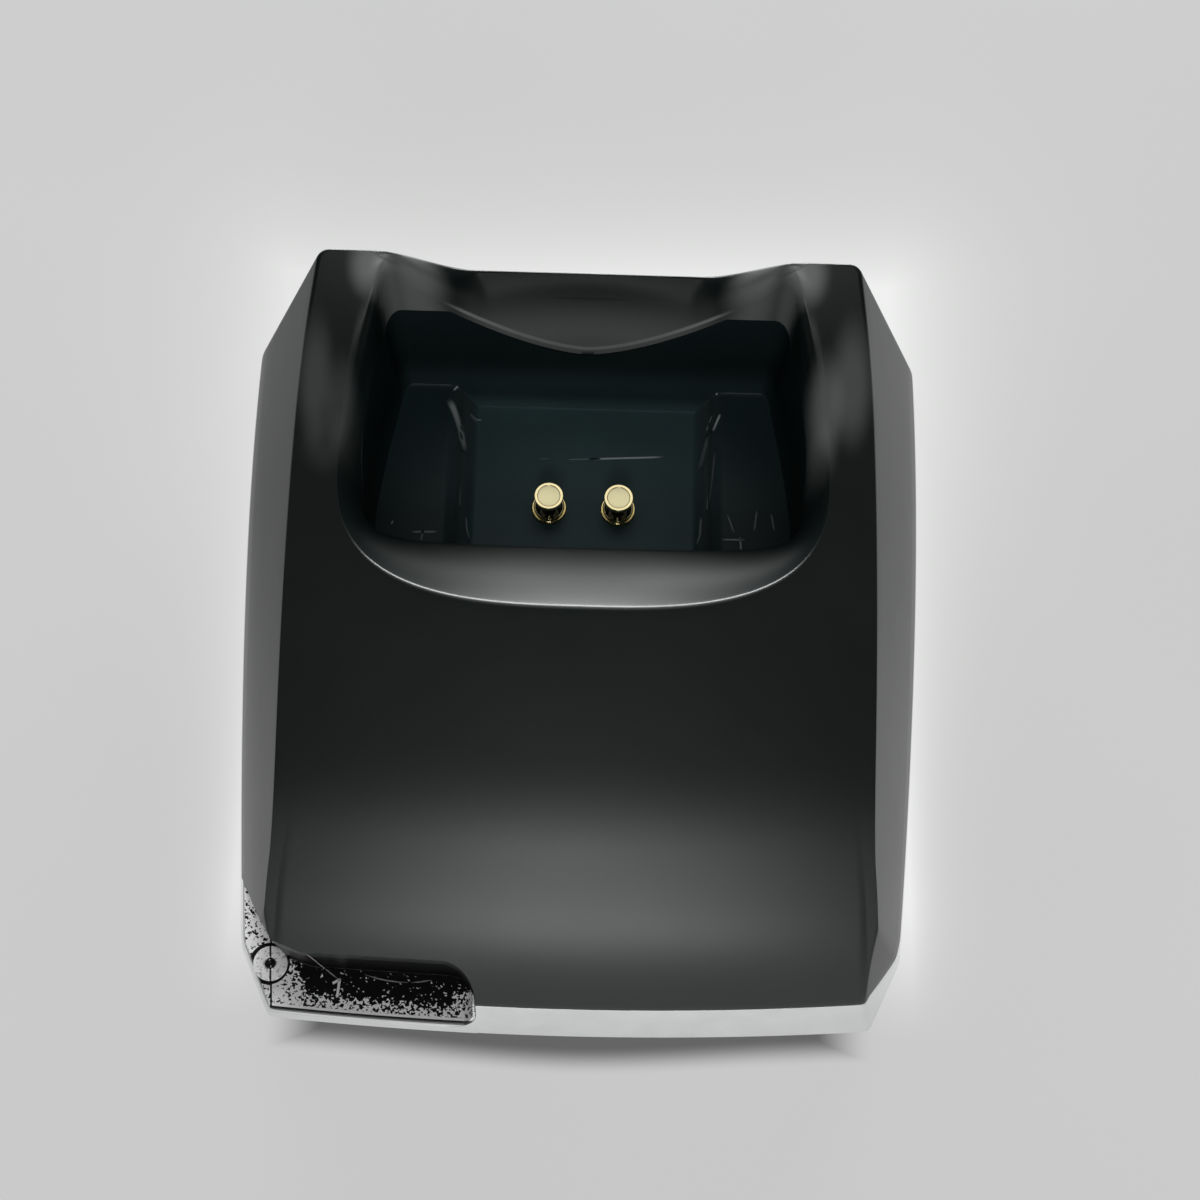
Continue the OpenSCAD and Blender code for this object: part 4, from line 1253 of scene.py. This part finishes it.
def scuff_and_sheen_strip(points, half, strength):
    """One of the well's lines of scuffs and painted highlights, as a thin strip that fades to its ends and
    sides.
    """
    grid, along, offset = strip_grid(points, half, well_height)
    scuff_and_sheen_share = strength * smooth(np.minimum(along, 1 - along) / 0.2)[:, None] * (1 - offset ** 2)[None, :]
    verts, faces = slab(grid + [0, 0, SCUFF_AND_SHEEN_LIFT], grid - [0, 0, SCUFF_AND_SHEEN_LIFT])
    return verts, faces, np.concatenate([scuff_and_sheen_share.ravel(), np.zeros(scuff_and_sheen_share.size)])


def make_liner():
    """Liner of the well: its wall, its floor with the shoulders beside the channel, and the lines of scuffs
    and painted highlights.
    """
    parts = [liner_wall(), liner_floor()] + [scuff_and_sheen_strip(*row) for row in SCUFF_AND_SHEEN_LINES]
    verts, faces = merged([part[:2] for part in parts])
    piece = make_mesh("liner", verts, faces, 50.0)
    # Share of scuffs and painted highlights for each point, which the liner's finish reads
    scuffs_and_sheen = piece.data.attributes.new("scuffs_and_sheen", "FLOAT", "POINT")
    scuffs_and_sheen.data.foreach_set("value", np.concatenate([scuff_and_sheen_share for _, _, scuff_and_sheen_share in parts]))
    dress(piece, LINER, "stand", "liner", "cradle_liner")
    return piece


# Contacts: radii and heights of the pin's shank, neck and face, and of the collar's body, flange and bore
PIN_FOOT_Z = 11.6
PIN_STEP_Z = 13.3
PIN_R = 1.25
NECK_R = 1.0
FACE_R = HEAD_R - 0.45
FACE_Z = HEAD_Z - 0.06
COLLAR_FOOT_Z = 6.2
COLLAR_FLOOR_Z = 8.3
COLLAR_STOP_Z = 13.4
COLLAR_R = 1.7
COLLAR_FLANGE_R = 2.45
COLLAR_BORE_R = 1.3
COLLAR_NECK_R = 1.05
RECESS_R = 1.77


def second_finish(piece, finish, centre, radius, above):
    """Gives another finish to the faces of a turned piece within a radius and above a height."""
    piece.data.materials.append(finish)
    spots = np.array([face.center for face in piece.data.polygons]) / MM
    near = (spots[:, 0] - centre[0]) ** 2 + (spots[:, 1] - centre[1]) ** 2 < radius ** 2
    inside = near & (spots[:, 2] > above)
    piece.data.polygons.foreach_set("material_index", inside.astype(np.int32))


def make_pin(name, centre):
    """Headed contact pin with a rim round its matt face."""
    shank = [(0, PIN_FOOT_Z), (PIN_R, PIN_FOOT_Z), (PIN_R, PIN_STEP_Z), (NECK_R, PIN_STEP_Z),
             (NECK_R, HEAD_Z - 1.3)]
    head = [(HEAD_R - 0.35, HEAD_Z - 1.15), (HEAD_R, HEAD_Z - 0.8), (HEAD_R, HEAD_Z), (FACE_R + 0.05, HEAD_Z),
            (FACE_R, FACE_Z), (0, FACE_Z)]
    pin = lathe("pin_" + name, rounded(shank + head, 0.05), centre)
    dress(pin, GOLD, "contact_pin_" + name, "gold", "contact_pin_" + name)
    second_finish(pin, GOLD_MATT, centre, FACE_R + 0.02, HEAD_Z - 0.2)


def make_collar(name, centre):
    """Collar that the pin stands in, with a ringed flange on the floor and its recess painted dark as shade.
    """
    z = FLOOR_Z
    body = [(0, COLLAR_FOOT_Z), (COLLAR_R, COLLAR_FOOT_Z), (COLLAR_R, z)]
    flange = [(COLLAR_FLANGE_R, z), (COLLAR_FLANGE_R, z + 0.3), (2.28, z + 0.5), (2.16, z + 0.44),
              (2.1, z + 0.75), (1.95, z + 0.9), (1.78, z + 0.8), (1.74, z + 0.1)]
    bore = [(COLLAR_NECK_R, z + 0.1), (COLLAR_NECK_R, COLLAR_STOP_Z), (COLLAR_BORE_R, COLLAR_STOP_Z),
            (COLLAR_BORE_R, COLLAR_FLOOR_Z), (0, COLLAR_FLOOR_Z)]
    collar = lathe("collar_" + name, rounded(body + flange + bore, 0.06), centre)
    dress(collar, GOLD, "stand", "gold", "contact_barrel_" + name)
    # Painted shade: the recess round the pin takes the dark lens finish
    second_finish(collar, DARK_LENS_AND_SHADE, centre, RECESS_R, FLOOR_Z)


def make_contacts():
    """The two gold contacts."""
    for name, side in (("left", -1), ("right", 1)):
        centre = (side * CONTACT_PITCH / 2, CONTACT_Y)
        make_pin(name, centre)
        make_collar(name, centre)


INDICATOR_AT = (-39.4, -43.0)
RING_TOP_Z = LEDGE_Z + 0.95
RING_BORE_R = 0.74
LENS_FOOT_Z = LEDGE_Z + 0.11
LENS_R = 0.72


def make_indicator():
    """Bright ring and dark lens at the corner."""
    z = LEDGE_Z
    profile = [(0, z), (2.05, z), (2.05, z + 0.45), (2.3, z + 0.5), (2.22, RING_TOP_Z), (0.9, RING_TOP_Z),
               (RING_BORE_R, z + 0.8), (RING_BORE_R, z + 0.1), (0, z + 0.1)]
    ring = lathe("indicator_ring", rounded(profile, 0.08), INDICATOR_AT, 96)
    dress(ring, RING, "stand", "bezel", "indicator_bezel")
    dome = [(0, LENS_FOOT_Z), (LENS_R, LENS_FOOT_Z), (LENS_R, z + 0.6), (0.5, z + 0.8), (0.25, z + 0.9),
            (0, z + 0.93)]
    lens = lathe("indicator_lens", dome, INDICATOR_AT, 64)
    dress(lens, DARK_LENS_AND_SHADE, "stand", "indicator", "indicator_light")


# Marks on the plate and the window, with painted highlights along the arcs: plan points of each line, and
# both ends of the one on the window's face
PLATE_TOP = LEDGE_Z + 0.4
MARK_LIFT = 0.02
MARK_DEEP = 0.04
NUMERAL = [[(-30.22, -44.75), (-30.31, -45.94), (-30.4, -47.1)], [(-30.2, -44.8), (-31.1, -45.35)]]
NUMERAL_HALF = 0.17
# Painted highlights: arcs of light on the plate in front of the window
ARCS = [[(-27.0, -44.1), (-25.48, -44.54), (-24.15, -44.79), (-22.57, -44.96), (-21.3, -44.99)],
        [(-20.8, -44.98), (-19.55, -44.86), (-18.2, -44.6)]]
SLANT_FOOT = [(-32.35, -43.4), (-30.55, -44.7)]
SLANT_FACE = ((-33.05, -43.36, 15.2), (-32.35, -43.39, PLATE_TOP))
GLINT_HALF = 0.09


def mark_height(x, y):
    """Height of the marks, just above the plate."""
    return np.full(np.broadcast(x, y).shape, PLATE_TOP + MARK_LIFT)


def mark_strip(points, half, thinnest):
    """Thin strip along a line on the plate, which narrows to its ends down to a share of its width."""
    grid, along, _ = strip_grid(points, 1.0, mark_height, 2)
    middle = grid.mean(axis=1, keepdims=True)
    width = half * np.clip(np.minimum(along, 1 - along) / 0.3, thinnest, 1)[:, None, None]
    grid = middle + (grid - middle) * width
    return slab(grid, grid - [0, 0, MARK_DEEP])


def slant_strip():
    """Thin strip that runs down the window's face."""
    run = mix(np.array(SLANT_FACE[0]), np.array(SLANT_FACE[1]), np.linspace(0, 1, 12)[:, None])
    grid = run[:, None] + [0, -MARK_DEEP, 0] + GLINT_HALF * np.array([[-1, 0, 0], [1, 0, 0]])
    return slab(grid, grid + [0, MARK_DEEP, 0])


def make_marks():
    """Printed numeral on the plate, and light lines on the window and plate: painted highlights along the
    arcs, and a slanting line.
    """
    numeral = [mark_strip(points, NUMERAL_HALF, 1.0) for points in NUMERAL]
    dress(make_mesh("numeral", *merged(numeral)), PRINT, "stand", "sparkle_plate")
    glints = [mark_strip(points, GLINT_HALF, 0.25) for points in ARCS + [SLANT_FOOT]]
    dress(make_mesh("glints", *merged(glints + [slant_strip()])), GLINT, "stand", "smoked_window")


def dress_solids():
    """Finishes of the solids that stay in view."""
    finishes = {
        "bottom_plate": UNDER,
        "ballast_weight": STEEL,
        "circuit_board": BOARD,
        "power_inlet": UNDER,
        "inlet_centre_pin": NICKEL,
        "status_window": SMOKED,
        "status_plate": SPARKLE,
    }
    for side in ("left", "right"):
        finishes["contact_spring_" + side] = ZINC
        finishes["board_screw_" + side] = ZINC
        for end in ("front", "rear"):
            finishes["foot_%s_%s" % (end, side)] = RUBBER
            finishes["case_screw_%s_%s" % (end, side)] = ZINC
    for node, finish in finishes.items():
        dress_node(node, finish)


# Stage, light and camera

def seen(tree):
    """1 for what the camera, a reflection or a clear piece sees, 0 for the light that falls on things."""
    rays = tree.nodes.new("ShaderNodeLightPath")
    shown = maths(tree, "MAXIMUM", rays.outputs["Is Camera Ray"], rays.outputs["Is Glossy Ray"])
    return maths(tree, "MAXIMUM", shown, rays.outputs["Is Transmission Ray"])


PALE = 0.575
SHOWN_SHARE = 0.93
TABLE_HALF = 1500.0
BAND_FRONT = -0.0516


def table_glow(tree, x, y):
    """1 far from the stand and a little more round it, by an exponential of the distance from its sides."""
    beside = maths(tree, "MAXIMUM", maths(tree, "SUBTRACT", maths(tree, "ABSOLUTE", x), 0.046), 0.0)
    ahead = maths(tree, "MAXIMUM", maths(tree, "SUBTRACT", y, 0.063), maths(tree, "SUBTRACT", -0.05, y), 0.0)
    reach = eased(tree, y, -0.03, 0.06, -0.0028, -0.0095)
    near = maths(tree, "POWER", 2.718, maths(tree, "DIVIDE", far(tree, beside, ahead), reach))
    amount = maths(tree, "MULTIPLY", eased(tree, y, -0.052, -0.03, 0.0, 0.5),
                   eased(tree, x, -0.05, 0.05, 0.7, 1.0))
    return straight(tree, near, amount, 1.0)


def table_shade(tree, x, y, mirrored_ray):
    """Contact shadow in front of the band, which widens in the middle; a reflection doesn't show it."""
    front = straight(tree, maths(tree, "POWER", x, 2.0), FRONT_EDGE_BOW, BAND_FRONT)
    past = maths(tree, "SUBTRACT", front, y)
    sideways = maths(tree, "ABSOLUTE", x)
    start = eased(tree, sideways, 0.0, 0.03, 0.0006, -0.0003)
    shadow = eased(tree, maths(tree, "SUBTRACT", past, start), 0.0, 0.0038, 0.2, 1.0)
    wide = eased(tree, sideways, 0.030, 0.0405, 0.0, 1.0)
    behind = eased(tree, y, -0.04, -0.03, 0.0, 1.0)
    return maths(tree, "MAXIMUM", shadow, wide, mirrored_ray, behind)


def mirrored_dim(tree, x, y, mirrored_ray):
    """How much darker the table's sides look in a reflection, more so on the left and towards the rear."""
    left = maths(tree, "MULTIPLY", eased(tree, y, -0.03, 0.03, 0.25, 0.55),
                 eased(tree, x, -0.052, -0.048, 1.0, 0.0))
    right = maths(tree, "MULTIPLY", eased(tree, y, -0.03, 0.03, 0.0, 0.3),
                  eased(tree, x, 0.048, 0.052, 0.0, 1.0))
    return maths(tree, "MULTIPLY", mirrored_ray, maths(tree, "ADD", left, right))


def table_finish():
    """Pale matt table. What the camera and reflections see is mostly a drawn light, so that the stand's lamps
    leave no pools on it."""
    made, tree, shader = material("table_pale")
    at = place(tree)
    low = (PALE, PALE * 1.012, PALE)
    high = (PALE * 1.04, PALE * 1.05, PALE * 1.04)
    tone = ramp(tree, noise(tree, at, 6.0, 3.0), [(0.3, low), (0.7, high)])
    set_finish(tree, shader, tone, 0.85)

    split = add(tree, "SeparateXYZ", Vector=at)
    x, y = split.outputs["X"], split.outputs["Y"]
    mirrored_ray = tree.nodes.new("ShaderNodeLightPath").outputs["Is Glossy Ray"]
    kept = maths(tree, "SUBTRACT", 1.0, mirrored_dim(tree, x, y, mirrored_ray))
    strength = maths(tree, "MULTIPLY", table_glow(tree, x, y), table_shade(tree, x, y, mirrored_ray), kept)
    shown = add(tree, "Emission", Color=tone, Strength=strength)
    both = add(tree, "MixShader", in0=maths(tree, "MULTIPLY", seen(tree), SHOWN_SHARE),
               in1=shader.outputs["BSDF"], in2=shown.outputs["Emission"])
    tree.links.new(both.outputs["Shader"], tree.nodes["Material Output"].inputs["Surface"])
    return made


def make_floor():
    """Pale table under the stand."""
    half = TABLE_HALF
    floor = make_mesh("table", [(-half, -half, 0), (half, -half, 0), (half, half, 0), (-half, half, 0)],
                      [(0, 1, 2, 3)])
    floor.data.materials.append(table_finish())


def aim(thing, spot, target):
    """Puts a lamp at a spot and turns it to a target, both in millimetres."""
    spot, target = Vector(spot) * MM, Vector(target) * MM
    thing.location = spot
    thing.rotation_euler = (target - spot).to_track_quat("-Z", "Y").to_euler()


def softbox(name, spot, target, size, power):
    """Rectangular lamp; sizes in millimetres, power in watts."""
    lamp = bpy.data.lights.new(name, "AREA")
    lamp.shape = "RECTANGLE"
    lamp.size = size[0] * MM
    lamp.size_y = size[1] * MM
    lamp.energy = power
    holder = bpy.data.objects.new(name, lamp)
    bpy.context.scene.collection.objects.link(holder)
    aim(holder, spot, target)


def make_room(horizon, strength):
    """Room round the stand: a light horizon under a dark ceiling; the camera sees the table's colour."""
    world = bpy.data.worlds.new("room")
    bpy.context.scene.world = world
    world.use_nodes = True
    tree = world.node_tree
    back = tree.nodes["Background"]
    heading = tree.nodes.new("ShaderNodeTexCoord").outputs["Generated"]
    up = add(tree, "SeparateXYZ", Vector=heading).outputs["Z"]
    light = eased(tree, up, 0.02, 0.35, horizon, strength)
    rays = tree.nodes.new("ShaderNodeLightPath")
    shown = add(tree, "Mix", Factor=rays.outputs["Is Camera Ray"], A=light, B=PALE)
    feed(tree, back.inputs["Strength"], shown.outputs["Result"])
    back.inputs["Color"].default_value = (1.0, 1.0, 1.0, 1.0)


LAMP_DISTANCE = 900.0
LAMP_TARGET = (0, 0, 20)
WHITE_POWER = 4.8


def studio_lamp(name, azimuth, elevation, size, level):
    """Soft box at an azimuth (0 is the front, 90 the right) and an elevation, in degrees; the level is the
    light that it throws on the table, as a share of what makes white."""
    a, e = math.radians(azimuth), math.radians(elevation)
    spot = [LAMP_DISTANCE * v for v in (math.sin(a) * math.cos(e), -math.cos(a) * math.cos(e), math.sin(e))]
    softbox(name, spot, LAMP_TARGET, size, WHITE_POWER / math.sin(e) * level)


# Boxes in front of the stand: elevation in degrees, width in millimetres and level
FRONT_BOXES = [
    (8, 330, 0.034),
    (20, 300, 0.058),
    (32, 280, 0.084),
    (45, 200, 0.13),
    (58, 140, 0.05),
]
FRONT_BOX_H = 200


def make_light():
    """Boxes one above the other in front, one on each side, one high and one low behind, and a dim room."""
    for elevation, width, level in FRONT_BOXES:
        studio_lamp("front_%d" % elevation, 0, elevation, (width, FRONT_BOX_H), level)
    studio_lamp("side_left", -90, 58, (400, 350), 0.03)
    studio_lamp("side_right", 90, 58, (400, 350), 0.03)
    studio_lamp("rear_wide", 180, 19, (1100, 300), 1.95)
    studio_lamp("rear_high", 180, 64, (600, 400), 0.14)
    make_room(0.06, 0.008)


CAMERA_AT = (2.586, 5.15, 15.0)
CAMERA_DISTANCE = 243.2
CAMERA_UP = 70.0
CAMERA_YAW = -1.337
CAMERA_ROLL = 2.854
CAMERA_LENS = 54.0


def make_camera():
    """Camera at the photograph's angle: it looks down at 70 degrees from the front, turned a little."""
    yaw, rise, roll = (math.radians(v) for v in (CAMERA_YAW, CAMERA_UP, CAMERA_ROLL))
    back = Vector((math.sin(yaw) * math.cos(rise), -math.cos(yaw) * math.cos(rise), math.sin(rise)))
    right = Vector((math.cos(yaw), math.sin(yaw), 0))
    up = back.cross(right)
    right, up = right * math.cos(roll) + up * math.sin(roll), up * math.cos(roll) - right * math.sin(roll)
    spot = (Vector(CAMERA_AT) + back * CAMERA_DISTANCE) * MM
    turn_matrix = Matrix((right, up, back)).transposed().to_4x4()
    data = bpy.data.cameras.new("camera")
    data.lens = CAMERA_LENS
    data.sensor_width = 36.0
    data.sensor_fit = "AUTO"
    data.clip_start = 0.01
    data.clip_end = 20.0
    camera = bpy.data.objects.new("camera", data)
    camera.matrix_world = Matrix.Translation(spot) @ turn_matrix
    bpy.context.scene.collection.objects.link(camera)
    bpy.context.scene.camera = camera


make_camera()
make_light()
make_floor()
make_shell()
make_band()
make_liner()
make_contacts()
make_indicator()
make_marks()
dress_solids()

bpy.context.scene.view_settings.view_transform = "Standard"
